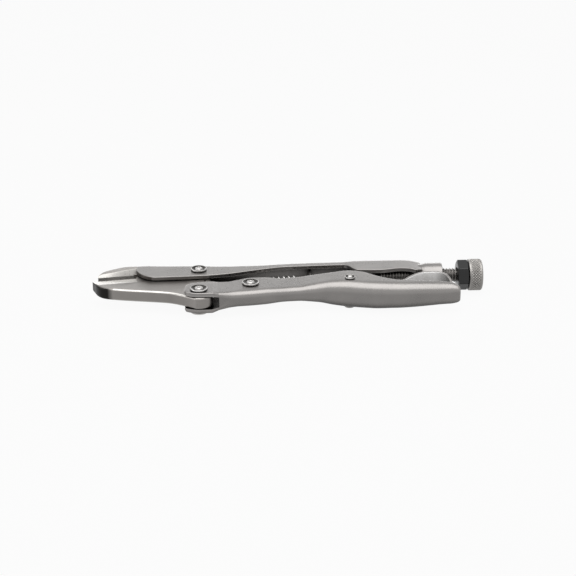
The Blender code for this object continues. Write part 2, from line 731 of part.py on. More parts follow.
def make_release_lever(lever):
    """The sprung strip between the handles, on two arms."""
    form = loft(strip_rings(release_path()))
    item = add_object("release_lever", mesh_from(form), RELEASE_PIVOT, lever, NICKEL)
    outer = FRONT_HALF_WIDTH * RELEASE_ARM_SHARE
    for sign in (1, -1):
        faces = sorted((sign * outer, sign * (outer - RELEASE_STRIP)))
        add_tool(item, extrude_outline(release_arm(), *faces), "UNION")
    reach = outer + CUT_OVERRUN
    add_tool(item, moved(cylinder(PIN_HOLE, -reach, reach, SMALL_SIDES), RELEASE_PIVOT), "DIFFERENCE")


def spring_points():
    """Points of the spring's wire along its line: jaw hook, straight run, coils, straight run, rear hook."""
    radius = (SPRING_DIAMETER - SPRING_WIRE) / 2
    line = SPRING_LINE.length
    end = SPRING_START + SPRING_COILS * SPRING_PITCH
    points = [(0, 0, HOOK_LENGTH), (0, 0, SPRING_WIRE / 2), (SPRING_WIRE / 2, 0, 0)]
    points.append((SPRING_START - SPRING_PITCH, 0, 0))
    for i in range(SPRING_COILS * COIL_POINTS + 1):
        turn = 2 * math.pi * i / COIL_POINTS
        along = SPRING_START + SPRING_PITCH * i / COIL_POINTS
        points.append((along, radius * math.cos(turn), radius * math.sin(turn)))
    points.append((end + SPRING_PITCH, 0, 0))
    tail = line + ANCHOR_SHEET + SPRING_WIRE + FIT_GAP
    hook = tail + SPRING_WIRE / 2
    points += [(tail, 0, 0), (hook, 0, SPRING_WIRE / 2), (hook, 0, HOOK_LENGTH)]
    return points


def report_spring_gap(points):
    """Print the least gap of the wire to itself, between points half a coil or more apart."""
    places = [Vector(point) for point in points]
    skip = COIL_POINTS // 2
    gaps = [(a - b).length for i, a in enumerate(places) for b in places[i + skip:]]
    print("tension spring: least gap to itself in metres", round(min(gaps) - SPRING_WIRE, 6))


def make_spring(base):
    """The tension spring, one unbroken tube."""
    points = spring_points()
    report_spring_gap(points)
    curve = bpy.data.curves.new("spring_line", "CURVE")
    curve.dimensions = "3D"
    curve.bevel_depth = SPRING_WIRE / 2
    curve.bevel_resolution = 1
    curve.use_fill_caps = True
    spline = curve.splines.new("POLY")
    spline.points.add(len(points) - 1)
    placing = Matrix.Translation(SPRING_HOOK) @ Matrix.Rotation(SPRING_ANGLE, 4, "Z")
    for target, point in zip(spline.points, points):
        target.co = (*(placing @ Vector(point)), 1)
    return add_object("tension_spring", curve, SPRING_HOOK, base, BRIGHT)


def make_screw(base):
    """The adjusting screw, with the spigot that carries its knob."""
    end = KNOB_X - FIT_GAP
    profile = (
        (SCREW_TIP_X, 0),
        (SCREW_TIP_X, SCREW_RADIUS - SCREW_EDGE),
        (SCREW_TIP_X + SCREW_EDGE, SCREW_RADIUS),
        (end, SCREW_RADIUS),
        (end, SPIGOT_RADIUS),
        (KNOB_X + SPIGOT_DEPTH - FIT_GAP, SPIGOT_RADIUS),
        (KNOB_X + SPIGOT_DEPTH - FIT_GAP, 0),
    )
    form = turn_profile(profile, ROUND_SIDES, "X")
    return add_object("adjusting_screw", mesh_from(form), Vector((SCREW_TIP_X, 0, 0)), base, BRIGHT)


def make_knob(screw):
    """The round adjusting knob with a blind hole for the screw's spigot."""
    rear = KNOB_X + KNOB_LENGTH
    hole = SPIGOT_RADIUS + FIT_GAP
    profile = (
        (KNOB_X + SPIGOT_DEPTH, 0),
        (KNOB_X + SPIGOT_DEPTH, hole),
        (KNOB_X, hole),
        (KNOB_X, KNOB_RADIUS - KNOB_EDGE / 2),
        (KNOB_X + KNOB_EDGE / 2, KNOB_RADIUS),
        (rear - KNOB_EDGE, KNOB_RADIUS),
        (rear - KNOB_EDGE * KNOB_BREAK_SHARE, KNOB_RADIUS - KNOB_EDGE * KNOB_BREAK_SHARE),
        (rear, KNOB_RADIUS - KNOB_EDGE),
        (rear, 0),
    )
    form = turn_profile(profile, ROUND_SIDES, "X")
    add_object("adjusting_knob", mesh_from(form), Vector((KNOB_X, 0, 0)), screw, KNURLED)


def make_lock_nut(screw):
    """The hexagon nut, its corners chamfered by a turned form."""
    corner = NUT_FLATS / math.sqrt(3)
    ends = (NUT_X, NUT_X + NUT_THICKNESS)
    turns = [NUT_TURN + math.pi / 3 * i for i in range(6)]
    rings = [[(x, -corner * math.cos(t), corner * math.sin(t)) for t in turns] for x in ends]
    item = add_object("lock_nut", mesh_from(loft(rings)), Vector((NUT_X, 0, 0)), screw, BLACK_STEEL)
    drop = (corner - NUT_FLATS / 2) * NUT_CHAMFER_SHARE
    chamfer = turn_profile(
        (
            (ends[0], 0),
            (ends[0], NUT_FLATS / 2 - FIT_GAP),
            (ends[0] + drop, corner + FIT_GAP),
            (ends[1] - drop, corner + FIT_GAP),
            (ends[1], NUT_FLATS / 2 - FIT_GAP),
            (ends[1], 0),
        ),
        ROUND_SIDES,
        "X",
    )
    add_tool(item, chamfer, "INTERSECT")
    bore = cylinder(SCREW_HOLE, ends[0] - CUT_OVERRUN, ends[1] + CUT_OVERRUN, ROUND_SIDES, "X")
    add_tool(item, bore, "DIFFERENCE")


def set_down(base):
    """Move the whole tool so that the middle of its lowest plane is the world's origin."""
    bpy.context.view_layer.update()
    graph = bpy.context.evaluated_depsgraph_get()
    corners = []
    for item in bpy.context.scene.objects:
        if item.type == "EMPTY" or item.hide_render:
            continue
        shape = item.evaluated_get(graph)
        mesh = shape.to_mesh()
        corners += [shape.matrix_world @ vertex.co for vertex in mesh.vertices]
        shape.to_mesh_clear()
    low = [min(corner[axis] for corner in corners) for axis in range(3)]
    high = [max(corner[axis] for corner in corners) for axis in range(3)]
    base.location = (-(low[0] + high[0]) / 2, -(low[1] + high[1]) / 2, -low[2])
    bpy.context.view_layer.update()


def build():
    """Make every sub-part on the body that carries it."""
    clear_scene()
    base = bpy.data.objects.new("tool_base", None)
    bpy.context.scene.collection.objects.link(base)
    base["pivot"] = (0, 0, 0)
    make_fixed_handle(base)
    make_upper_jaw(base)
    make_rivet("jaw_pivot_rivet", JAW_PIVOT, FRONT_HALF_WIDTH, JAW_HEAD_RADIUS, RIVET_SHANK, HEAD_HEIGHT,
               base)
    make_spring(base)
    jaw = make_lower_jaw(base)
    lever = make_lever_handle(jaw)
    make_rivet("lever_pivot_rivet", LEVER_PIVOT, EAR_HALF_WIDTH, LEVER_HEAD_RADIUS, RIVET_SHANK,
               HEAD_HEIGHT, lever)
    make_rivet("link_pivot_rivet", LINK_PIVOT, mix(WAIST_HALF_WIDTH, GRIP_HALF_WIDTH, LEVER_SHARES[2][3]),
               LINK_HEAD_RADIUS, RIVET_SHANK, HEAD_HEIGHT, lever)
    make_rivet("release_pivot_pin", RELEASE_PIVOT, GRIP_HALF_WIDTH, PIN_HEAD_RADIUS, PIN_SHANK,
               PIN_HEAD_HEIGHT, lever)
    make_toggle_link(lever)
    make_release_lever(lever)
    screw = make_screw(base)
    make_lock_nut(screw)
    make_knob(screw)
    set_down(base)


build()
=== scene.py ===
import math

import bmesh
import bpy
from mathutils import Matrix, Vector


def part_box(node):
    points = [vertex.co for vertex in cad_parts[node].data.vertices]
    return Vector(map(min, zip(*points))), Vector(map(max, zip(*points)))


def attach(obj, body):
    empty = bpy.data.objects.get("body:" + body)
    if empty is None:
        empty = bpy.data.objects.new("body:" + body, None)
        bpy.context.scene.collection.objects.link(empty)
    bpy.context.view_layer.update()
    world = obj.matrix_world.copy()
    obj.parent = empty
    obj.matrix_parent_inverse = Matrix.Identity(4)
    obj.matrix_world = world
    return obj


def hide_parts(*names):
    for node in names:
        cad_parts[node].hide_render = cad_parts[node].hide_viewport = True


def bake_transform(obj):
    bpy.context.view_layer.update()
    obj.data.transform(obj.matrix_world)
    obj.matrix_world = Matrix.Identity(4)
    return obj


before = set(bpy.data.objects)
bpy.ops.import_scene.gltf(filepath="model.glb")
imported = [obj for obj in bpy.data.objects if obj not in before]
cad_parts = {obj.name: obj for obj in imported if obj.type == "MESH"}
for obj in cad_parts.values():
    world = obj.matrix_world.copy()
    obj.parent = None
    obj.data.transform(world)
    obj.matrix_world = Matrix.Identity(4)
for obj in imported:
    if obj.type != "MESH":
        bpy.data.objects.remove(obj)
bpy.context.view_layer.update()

# Where the frame has the jaw pivot, from which every form here is laid out
LOW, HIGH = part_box("jaw_pivot_rivet")
JAW_PIVOT = (LOW + HIGH) / 2

# Fits, cuts, how finely curves are stepped, and where shading breaks
FIT_GAP = 0.0003
CUT_OVERRUN = 0.006
LEAST_RADIUS = 0.00004
PLATE_EDGE = 0.0003
FOLD_STEPS = 9
CHEEK_STEPS = 5
LIP_STEPS = 4
EYE_STEPS = 24
JAW_EYE_STEPS = 28
LINK_EYE_STEPS = 36
ROW_STEPS = 5
ROUND_SIDES = 64
SMALL_SIDES = 40
SMOOTH_ANGLE = math.radians(38)
BROAD_EDGE_ANGLE = math.radians(6)
BROAD_FACE_AREA = 1.2e-5

# Fixed handle
SHEET = 0.0021
SHEET_LIP = 0.00035
THROAT_REACH = 0.0329
CHANNEL_REACH = 0.1185
HANDLE_BACK = 0.0097
HANDLE_SKIRT = 0.0093
REAR_HALF_WIDTH = 0.0065
FRONT_CORNER = 0.0025
REAR_CORNER = 0.0036
BOSS_RADIUS = 0.0067
BOSS_LENGTH = 0.0095
BOSS_EDGE = 0.0006
NECK_RADIUS = 0.0061
NECK_LENGTH = 0.003
NECK_RISE_SHARE = 0.2

# Forged jaws
JAW_THICKNESS = 0.0064
JAW_REACH = 0.0558
LAND_LENGTH = 0.0226
LAND_START = 0.0062
LAND_RISE = 0.0037
LAND_HALF_THICKNESS = 0.0023
JAW_GAP = 0.0049
JAW_BEVEL_DEPTH = 0.007
EYE_RADIUS = 0.0049
LOWER_EYE_RADIUS = 0.006
EYE_STRETCH_SHARE = 1.22
JAW_SHANK = 0.0063
JAW_EDGE_RADIUS = 0.0012
NOSE_SETBACK = 0.0026
NOSE_HEIGHT = 0.0069
NOSE_TIP_HALF_THICKNESS = 0.003
NOSE_BEVEL = 0.0014
NOSE_STEP = 0.0003
NOSE_CORNER = 0.0012
TANG_LENGTH = 0.021
TANG_SEAT = 0.0003

# Lever handle
LEVER_SHEET = 0.0021
LEVER_REACH = 0.1355
LEVER_BELLY = 0.0054
LEVER_RISE = 0.019
EAR_FRONT = 0.0073
WEB_START = 0.0104
WINDOW_NECK_SHARE = 0.62
WINDOW_END_SHARE = 0.46
WAIST_HALF_WIDTH = 0.004
GRIP_HALF_WIDTH = 0.0074
EAR_CORNER = 0.0006
WAIST_CORNER = 0.0036
GRIP_CORNER = 0.0058

# Places of the pivots
EYE_DROP = 0.0276
LINK_PIVOT_AHEAD = 0.0269
LINK_PIVOT_RISE = 0.0098
RELEASE_PIVOT_AHEAD = 0.0786
RELEASE_PIVOT_RISE = 0.0075

# Rivets and the release lever's pin
RIVET_SHANK = 0.0024
JAW_HEAD_RADIUS = 0.0042
LEVER_HEAD_RADIUS = 0.0045
LINK_HEAD_RADIUS = 0.0044
HEAD_HEIGHT = 0.0013
HEAD_ROUNDING_SHARE = 0.16
PIN_SHANK = 0.0015
PIN_HEAD_RADIUS = 0.0027
PIN_HEAD_HEIGHT = 0.0011

# Toggle link
LINK_LENGTH = 0.0698
LINK_EYE_RADIUS = 0.0046
LINK_HALF_HEIGHT = 0.0031
NOSE_CLEARANCE = 0.0023

# Release lever
RELEASE_REACH = 0.054
RELEASE_ARCH = 0.0112
RELEASE_STRIP = 0.0014
RELEASE_EYE_RADIUS = 0.0034
RELEASE_ARM_SHARE = 0.84
RELEASE_LIP = 0.0004
RELEASE_CROWN = 0.0006
ARM_SPAN_SHARES = (-0.08, 0.20)
STRIP_PARTS = 3
STRIP_STEPS = 6

# Tension spring, and the stretch of it between the jaw and the fixed side
SPRING_WIRE = 0.001
SPRING_DIAMETER = 0.005
SPRING_COILS = 7
SPRING_PITCH = 0.0027
SPRING_HOLE_AHEAD = 0.0032
SPRING_HOLE_DROP = 0.0096
SPRING_START = 0.0305
ANCHOR_REACH = 0.0585
ANCHOR_DROP = 0.0015
ANCHOR_SHEET = 0.0014
ANCHOR_HALF_WIDTH = 0.0023
HOOK_LENGTH = 0.0021
HOOK_BEND_START = 0.002
HOOK_BEND_END = 0.014
COIL_POINTS = 26
WIRE_SIDES = 16
WIRE_SMOOTH_ANGLE = math.radians(60)

# Adjusting screw, lock nut and knob
SCREW_RADIUS = 0.0038
THREAD_PITCH = 0.0016
THREAD_DEPTH = 0.0007
THREAD_ROWS = 12
FLANK_SLOPE = 1.5
CREST_SHARE = 0.25
NUT_BACK_OFF = 0.0082
NUT_FLATS = 0.0143
NUT_THICKNESS = 0.0057
NUT_TURN = math.radians(45)
NUT_CORNER_RADIUS = 0.0006
NUT_CHAMFER_SHARE = 0.6
KNOB_RADIUS = 0.00845
KNOB_LENGTH = 0.0072
KNOB_EDGE = 0.0012
KNURL_COUNT = 36
KNURL_DEPTH = 0.00042
KNURL_STEPS = 8
KNURL_FLAT = 0.75
KNURLED_SHARE = 0.9
KNURL_SMOOTH_ANGLE = math.radians(24)
SPIGOT_RADIUS = 0.0026
SPIGOT_DEPTH = 0.005

# Which faces get a second finish, mostly painted highlight or shade: how far they lean, as a share of their
# outward direction, and their places
BEVEL_LEAN = 0.2
LAND_LEAN = 0.06
CUT_EDGE_LEAN = 0.35
RIM_LEAN = 0.7
HIGHLIT_EDGE_LEANS = (0.35, 0.985)
HANDLE_EDGE_END = -0.016
WEB_EDGE_SPAN = 0.0022
RING_SHADE_SHARES = (0.50, 0.80)

# Painted dark reflections that fade out along the tool, from the frame's middle: at the lower jaw's tip and
# the release lever's end
TIP_SHADE_START = -0.095
TIP_SHADE_END = -0.0922
TIP_WALL_LEANS = (0.75, 0.96)
TIP_FRONT_LEANS = (-0.999, -0.975)
TIP_SHADE = (0.02, 0.019, 0.018)
RELEASE_SHADE_START = 0.077
RELEASE_SHADE_END = 0.0835
RELEASE_SHADE_SHARE = 0.93
RELEASE_SHADE = (0.06, 0.057, 0.053)

# Patterns of the metal: patches per metre, detail and roughness of each noise, and how they are used
RECESS_REACH = 0.009
RUB_SHARE = 1.35
BLOTCH_NOISE = (55, 6, 0.6)
GRAIN_NOISE = (1500, 3, 0.55)
WAVE_NOISE = (260, 3, 0.5)
NOISE_MIDDLE = (0.3, 0.7)
GRAIN_GLOSS = (-0.05, 0.06)
BLOTCH_GLOSS = (-0.03, 0.04)
WAVE_HEIGHT = 0.00008
GRAIN_HEIGHT = 0.00004
GRAIN_SHARE = 0.8
WORN_RANGE = (0.505, 0.56)
RECESS_RANGE = (0.22, 0.72)
RECESS_SAMPLES = 6
BLACK_IOR = 1.38
MIX_INPUTS = (6, 7)
MIX_OUTPUT = 2

# Finishes: darker and lighter tone, the tone of the painted shade in recesses, roughness and strength of the
# relief, then, where they aren't as usual, reach of the recesses, how much brighter worn edges are, and how
# metallic it is
FINISHES = {
    "satin_nickel": ((0.212, 0.203, 0.197), (0.252, 0.241, 0.233), (0.025, 0.023, 0.021), 0.30, 0.16, 0.011),
    "forged_nickel": ((0.212, 0.2, 0.19), (0.262, 0.248, 0.235), (0.03, 0.028, 0.026), 0.33, 0.3, 0.004),
    # tempered nickel also carries a painted dark reflection at the lower jaw's tip
    "tempered_nickel_tip_shaded": ((0.196, 0.185, 0.176), (0.243, 0.23, 0.218), (0.03, 0.028, 0.026),
                        0.33, 0.3, 0.004, 1.7),
    # painted shade for the fixed handle's front sheet edge
    "front_edge_shade_steel": ((0.075, 0.068, 0.062), (0.11, 0.101, 0.094), (0.02, 0.019, 0.018), 0.32, 0.2),
    "rivet_steel": ((0.34, 0.33, 0.322), (0.44, 0.43, 0.42), (0.01, 0.009, 0.008), 0.18, 0.12, 0.0022),
    "thread_steel": ((0.15, 0.142, 0.135), (0.22, 0.21, 0.2), (0.02, 0.019, 0.018), 0.34, 0.2),
    # a painted highlight along the lower jaw's rounded outer edge
    "highlit_edge_steel": ((0.4, 0.388, 0.37), (0.48, 0.466, 0.445), (0.12, 0.115, 0.105), 0.28, 0.1),
    # painted shade in a ring on the rivet heads
    "rivet_ring_shade_steel": ((0.03, 0.028, 0.026), (0.06, 0.057, 0.053), (0.01, 0.01, 0.01), 0.3, 0.1, 0.0022),
    "black_steel": ((0.006, 0.0062, 0.0062), (0.012, 0.0123, 0.0123), (0.003, 0.003, 0.003),
                    0.13, 0.1, 0.002, RUB_SHARE, 0),
    "knurled_steel": ((0.23, 0.22, 0.209), (0.3, 0.29, 0.277), (0.015, 0.014, 0.013), 0.36, 0.15, 0.0014),
    # ground faces, made brighter and partly diffuse as a painted highlight
    "ground_steel_painted_bright": ((0.36, 0.348, 0.33), (0.43, 0.417, 0.396), (0.12, 0.115, 0.105),
                     0.3, 0.08, 0.0015, RUB_SHARE, 0.6),
    # near-white and mostly diffuse: a painted bright reflection for the release lever and the web's cut edge,
    # its rear end with painted shade
    "sprung_steel_painted_light": ((0.9, 0.887, 0.875), (0.97, 0.958, 0.946), (0.4, 0.39, 0.38),
                     0.24, 0.05, 0.002, RUB_SHARE, 0.1),
}

# Camera: distance, angles, the object's offset across the view, and the lens
CAMERA_DISTANCE = 0.85
CAMERA_AZIMUTH = math.radians(-2.98)
CAMERA_ELEVATION = math.radians(22)
CAMERA_RIGHT = 0.04728
CAMERA_UP = -0.004356
CAMERA_LENS = 100
CAMERA_SENSOR = 36
CAMERA_NEAR = 0.01

# Studio: the surround's level, the floor's half size and tone, how much of its look is plain white, seen
# directly and in the metal, and the lamps with place, aim, width, height and radiance
SURROUND_LEVEL = 0.45
FLOOR_HALF_SIZE = 6
FLOOR_TONE = 0.42
FLOOR_ROUGHNESS = 0.9
FLOOR_GLOW_CAMERA = 0.94
FLOOR_GLOW_GLOSSY = 0.65
LAMPS = {
    "overhead": ((0, -0.22, 0.9), (0, -0.22, 0), 1.2, 1.05, 2.1),
    "behind": ((0, 1.3, 0.16), (0, 0, 0.01), 2.4, 0.26, 2.2),
    "left": ((-1.1, -0.2, 0.3), (-0.05, 0, 0.01), 0.7, 0.5, 1.6),
}
SEEN = ("Is Camera Ray", "Is Transmission Ray")
SEEN_OR_MIRRORED = ("Is Camera Ray", "Is Glossy Ray", "Is Transmission Ray")

# Sizes that follow from the ones above
JAW_HALF = JAW_THICKNESS / 2
FRONT_HALF_WIDTH = JAW_HALF + FIT_GAP + SHEET
EAR_HALF_WIDTH = JAW_HALF + FIT_GAP + LEVER_SHEET
LINK_HALF = WAIST_HALF_WIDTH - LEVER_SHEET - FIT_GAP
PIVOT = Vector((0, 0, 0))
LEVER_PIVOT = Vector((0, -EYE_DROP, 0))
LINK_PIVOT = LEVER_PIVOT + Vector((LINK_PIVOT_AHEAD, LINK_PIVOT_RISE, 0))
RELEASE_PIVOT = LEVER_PIVOT + Vector((RELEASE_PIVOT_AHEAD, RELEASE_PIVOT_RISE, 0))
LINK_ANGLE = math.asin(-LINK_PIVOT.y / LINK_LENGTH)
SCREW_TIP_X = LINK_PIVOT.x + LINK_LENGTH * math.cos(LINK_ANGLE) + NOSE_CLEARANCE
BOSS_FACE_X = CHANNEL_REACH + BOSS_LENGTH + NECK_LENGTH / 2
NUT_X = BOSS_FACE_X + NUT_BACK_OFF
KNOB_X = NUT_X + NUT_THICKNESS + FIT_GAP
LAND_SLOPE = LAND_RISE / LAND_LENGTH
RIVET_HOLE = RIVET_SHANK + FIT_GAP
PIN_HOLE = PIN_SHANK + FIT_GAP
SCREW_HOLE = SCREW_RADIUS + FIT_GAP
SPRING_HOOK = Vector((SPRING_HOLE_AHEAD, -SPRING_HOLE_DROP, 0))
SPRING_ANCHOR = Vector((ANCHOR_REACH, -ANCHOR_DROP, 0))
SPRING_LINE = SPRING_ANCHOR - SPRING_HOOK
SPRING_ANGLE = math.atan2(SPRING_LINE.y, SPRING_LINE.x)
WIRE_HOLE = SPRING_WIRE / 2 + FIT_GAP

# Neck between the channel and the boss's shoulder: shares of NECK_LENGTH and of NECK_RADIUS
NECK_SHARES = ((-2, 0.75), (-1.5, 0.92), (-1, 1), (-0.4, 1))

# A rivet's head, from its rim to the dimple in its middle: shares of its radius and of its height
HEAD_SHARES = (
    (1, 0.36), (0.985, 0.66), (0.95, 0.7), (0.6, 0.14), (0.52, 0.16),
    (0.44, 0.6), (0.37, 0.84), (0.26, 0.88), (0.15, 0.66), (0, 0.56),
)

# Fixed handle's sections, front to rear: place along (forward shares are of THROAT_REACH, rearward ones of
# CHANNEL_REACH), height of the back, depth of the cheeks' edge, and how far width and folds are at the rear's
HANDLE_SHARES = (
    (-1, 0.9, -0.05, 0, 0), (-0.94, 0.925, 0.4, 0, 0), (-0.875, 0.94, 0.67, 0, 0),
    (-0.795, 0.932, 0.87, 0, 0), (-0.69, 0.895, 0.98, 0, 0), (-0.456, 0.845, 0.946, 0, 0),
    (0, 0.773, 0.86, 0, 0), (0.118, 0.665, 0.645, 0, 0), (0.253, 0.69, 0.13, 0, 0),
    (0.388, 0.856, -0.29, 0, 0), (0.506, 0.94, -0.366, 0, 0), (0.633, 0.99, -0.42, 0, 0),
    (0.652, 0.995, -0.4, 0.1, 0.1), (0.669, 1, -0.22, 0.35, 0.35), (0.688, 1, 0.28, 0.7, 0.7),
    (0.709, 1, 0.613, 0.95, 0.95), (0.81, 1, 0.7, 1, 1), (0.903, 0.99, 0.49, 1, 1),
    (0.94, 0.97, 0.56, 0.95, 1.2), (0.967, 0.93, 0.7, 0.72, 1.55), (1, 0.8, 0.56, 0.1, 1.4),
)

# Lever handle's ears, front to rear: place ahead of the pivot in EAR_FRONT or behind it in WEB_START, depth
# of the lower outline in LEVER_BELLY, height of the upper one in LEVER_RISE, and how far width and folds are
# from the ears' to the waist's
EAR_SHARES = (
    (-1, 0.26, 0.163, 0), (-0.9, 0.54, 0.32, 0), (-0.7, 0.74, 0.426, 0),
    (-0.41, 0.89, 0.505, 0), (0, 1, 0.547, 0), (0.32, 1, 0.565, 0),
    (0.62, 0.97, 0.586, 0), (0.8, 0.9, 0.602, 0.18), (1.04, 0.8, 0.632, 0.52),
)

# Lever handle's channel behind the ears: place along in LEVER_REACH, depth of the back in LEVER_BELLY,
# height of the edge in LEVER_RISE, and how far width and folds are from the waist's to the grip's
LEVER_SHARES = (
    (0.106, 0.69, 0.663, 0.13, -0.3), (0.148, 0.48, 0.81, 0.12, 0), (0.199, 0.31, 0.963, 0.12, 0),
    (0.251, 0.07, 0.98, 0.12, 0), (0.325, -0.3, 0.93, 0, 0), (0.384, -0.46, 1, 0.02, 0),
    (0.421, -0.52, 1, 0.2, 0.2), (0.462, -0.52, 0.99, 0.44, 0.5), (0.517, -0.28, 0.947, 0.82, 0.8),
    (0.576, 0.07, 0.975, 1, 1), (0.635, 0.43, 0.863, 1, 1), (0.679, 0.63, 0.574, 1, 1),
    (0.731, 0.7, 0.347, 0.95, 1), (0.768, 0.72, 0.258, 0.91, 0.9), (0.841, 0.63, 0.242, 0.82, 0.9),
    (0.923, 0.44, 0.205, 0.65, 0.8), (0.967, 0.35, 0.174, 0.52, 0.4), (0.989, 0.3, 0.14, 0.28, -0.1),
    (1, 0.26, 0.095, -0.04, -0.6),
)

# Lower jaw's outer edge from the tip to the lever pivot: shares of JAW_REACH and of EYE_DROP
JAW_EDGE_SHARES = (
    (-1, -0.225), (-0.977, -0.35), (-0.955, -0.465), (-0.921, -0.565), (-0.88, -0.625),
    (-0.824, -0.668), (-0.695, -0.735), (-0.493, -0.815), (-0.36, -0.868), (-0.271, -0.915),
    (-0.2, -0.985), (-0.127, -1.075),
)

# Lower jaw's edge under the upper jaw's tang, from the throat to the jaw pivot: shares of THROAT_REACH
# and of EYE_RADIUS
JAW_TOP_SHARES = ((-0.973, 0.04), (-0.85, 0.12), (-0.33, 0.2), (-0.145, 0.45))

# Upper jaw's nose from its tip to the handle: place along the nose, height of its back in NOSE_HEIGHT, and
# how far its thickness has grown from the tip's to the handle's
NOSE_SHARES = (
    (0, 0.16, 0), (0.04, 0.3, 0.12), (0.11, 0.52, 0.26),
    (0.22, 0.66, 0.36), (0.34, 0.76, 0.46), (0.56, 0.92, 0.66),
    (0.78, 1, 0.86), (1, 1, 1),
)

# Release lever's strip from its toe to its tail: shares of RELEASE_REACH ahead of its pin and of
# RELEASE_ARCH above it, and the strip's half-width as a share of the fixed handle's front
RELEASE_SHARES = (
    (-0.17, 0.74, 0.5), (-0.074, 0.6, 0.84), (0, 0.43, 0.84),
    (0.11, 0.13, 0.84), (0.25, -0.12, 0.84), (0.39, -0.2, 0.84),
    (0.51, 0.1, 0.88), (0.61, 0.58, 0.96), (0.705, 0.92, 1),
    (0.796, 0.99, 1), (0.88, 0.97, 1), (0.946, 0.8, 0.96),
    (0.985, 0.45, 0.74), (1, 0.08, 0.45), (1, -0.03, 0.41),
)


def mix(first, last, share):
    """The value that lies a share of the way from first to last."""
    return first + (last - first) * share


def ease_slopes(places, values):
    """Slopes of a curve through the values that never overshoots them."""
    rises = [(b - a) / (q - p) for p, q, a, b in zip(places, places[1:], values, values[1:])]
    slopes = [rises[0]]
    for before, after in zip(rises, rises[1:]):
        slopes.append(2 * before * after / (before + after) if before * after > 0 else 0)
    return slopes + [rises[-1]]


def eased_rows(rows, steps):
    """Rows of section values with eased rows between them."""
    places = [row[0] for row in rows]
    columns = list(zip(*rows))[1:]
    slopes = [ease_slopes(places, column) for column in columns]
    result = []
    for i in range(len(rows) - 1):
        span = places[i + 1] - places[i]
        for k in range(steps):
            t = k / steps
            row = [places[i] + span * t]
            for column, slope in zip(columns, slopes):
                held = (1 + 2 * t) * (1 - t) ** 2 * column[i] + t * t * (3 - 2 * t) * column[i + 1]
                bent = t * (1 - t) ** 2 * slope[i] - t * t * (1 - t) * slope[i + 1]
                row.append(held + span * bent)
            result.append(row)
    return result + [list(rows[-1])]


def smooth_path(points, steps):
    """A curve through every point of a path in any number of directions."""
    closed = [points[0], *points, points[-1]]
    result = []
    for a, b, c, d in zip(closed, closed[1:], closed[2:], closed[3:]):
        for k in range(steps):
            t = k / steps
            row = []
            for p, q, r, s in zip(a, b, c, d):
                bent = t * (2 * p - 5 * q + 4 * r - s + t * (3 * q - p - 3 * r + s))
                row.append(q + t * (r - p + bent) / 2)
            result.append(row)
    return result + [list(points[-1])]


def arc(centre, radius, start, end, steps):
    """Points of an arc, its angles in degrees."""
    turns = [math.radians(mix(start, end, i / steps)) for i in range(steps + 1)]
    return [(centre[0] + radius * math.cos(t), centre[1] + radius * math.sin(t)) for t in turns]


def circle(x, radii):
    """A ring round the X axis, with one point for each radius."""
    turns = [2 * math.pi * k / len(radii) for k in range(len(radii))]
    return [(x, radius * math.cos(t), radius * math.sin(t)) for t, radius in zip(turns, radii)]


def loft(rings, capped=True):
    """Skin a row of closed rings that have the same number of points."""
    bm = bmesh.new()
    rows = [[bm.verts.new(point) for point in ring] for ring in rings]
    count = len(rows[0])
    for near, far in zip(rows, rows[1:]):
        for i in range(count):
            j = (i + 1) % count
            bm.faces.new((near[i], near[j], far[j], far[i]))
    if capped:
        bm.faces.new(rows[0])
        bm.faces.new(rows[-1])
    return bm


def filleted(points, radius, steps=3):
    """An open run of points, its inner corners rounded off by about the given radius."""
    result = [points[0]]
    for before, corner, after in zip(points, points[1:], points[2:]):
        middle = Vector(corner)
        ways = (Vector(before) - middle, Vector(after) - middle)
        first, last = (middle + way.normalized() * min(radius, way.length / 2) for way in ways)
        for k in range(steps + 1):
            t = k / steps
            result.append(tuple(first * (1 - t) ** 2 + middle * 2 * t * (1 - t) + last * t * t))
    return result + [points[-1]]


def turned(profile, sides=ROUND_SIDES, axis="Z"):
    """A solid of revolution from (place along the axis, radius) pairs; a radius of 0 closes an end."""
    bm = bmesh.new()
    rows = []
    for along, radius in profile:
        angles = [2 * math.pi * (i + 1 / 2) / sides for i in range(sides)] if radius else [0]
        row = []
        for angle in angles:
            side, up = radius * math.cos(angle), radius * math.sin(angle)
            row.append(bm.verts.new((side, up, along) if axis == "Z" else (along, side, up)))
        rows.append(row)
    for near, far in zip(rows, rows[1:]):
        for i in range(sides):
            j = (i + 1) % sides
            corners = [near[i % len(near)], near[j % len(near)], far[j % len(far)], far[i % len(far)]]
            bm.faces.new(list(dict.fromkeys(corners)))
    return bm


def cylinder(radius, low, high, sides=SMALL_SIDES, axis="Z"):
    """A plain round cutter between two places on its axis."""
    return turned(((low, 0), (low, radius), (high, radius), (high, 0)), sides, axis)


def moved(bm, offset):
    """Shift a form that was laid out on its own axis to its place."""
    bmesh.ops.translate(bm, verts=bm.verts, vec=offset)
    return bm


def holes(half_width, *spots):
    """Cutters for round holes across a piece of a half-width, from (place, radius) pairs."""
    reach = half_width + CUT_OVERRUN
    return [moved(cylinder(radius, -reach, reach), place) for place, radius in spots]


def along_spring(bm):
    """Lay a form drawn along +X from the jaw's hook hole onto the spring's line."""
    bm.transform(Matrix.Translation(SPRING_HOOK) @ Matrix.Rotation(SPRING_ANGLE, 4, "Z"))
    return bm


def inset_outline(outline, inset):
    """A closed outline in plan, counter-clockwise, moved inwards."""
    result = []
    count = len(outline)
    for i in range(count):
        before, here, after = (Vector(outline[j % count][:2]) for j in (i - 1, i, i + 1))
        first, last = (here - before).normalized(), (after - here).normalized()
        normal = Vector((-(first.y + last.y), first.x + last.x)).normalized()
        spread = max(normal.dot(Vector((-first.y, first.x))), 1 / 2)
        result.append(tuple(here + normal * inset / spread))
    return result


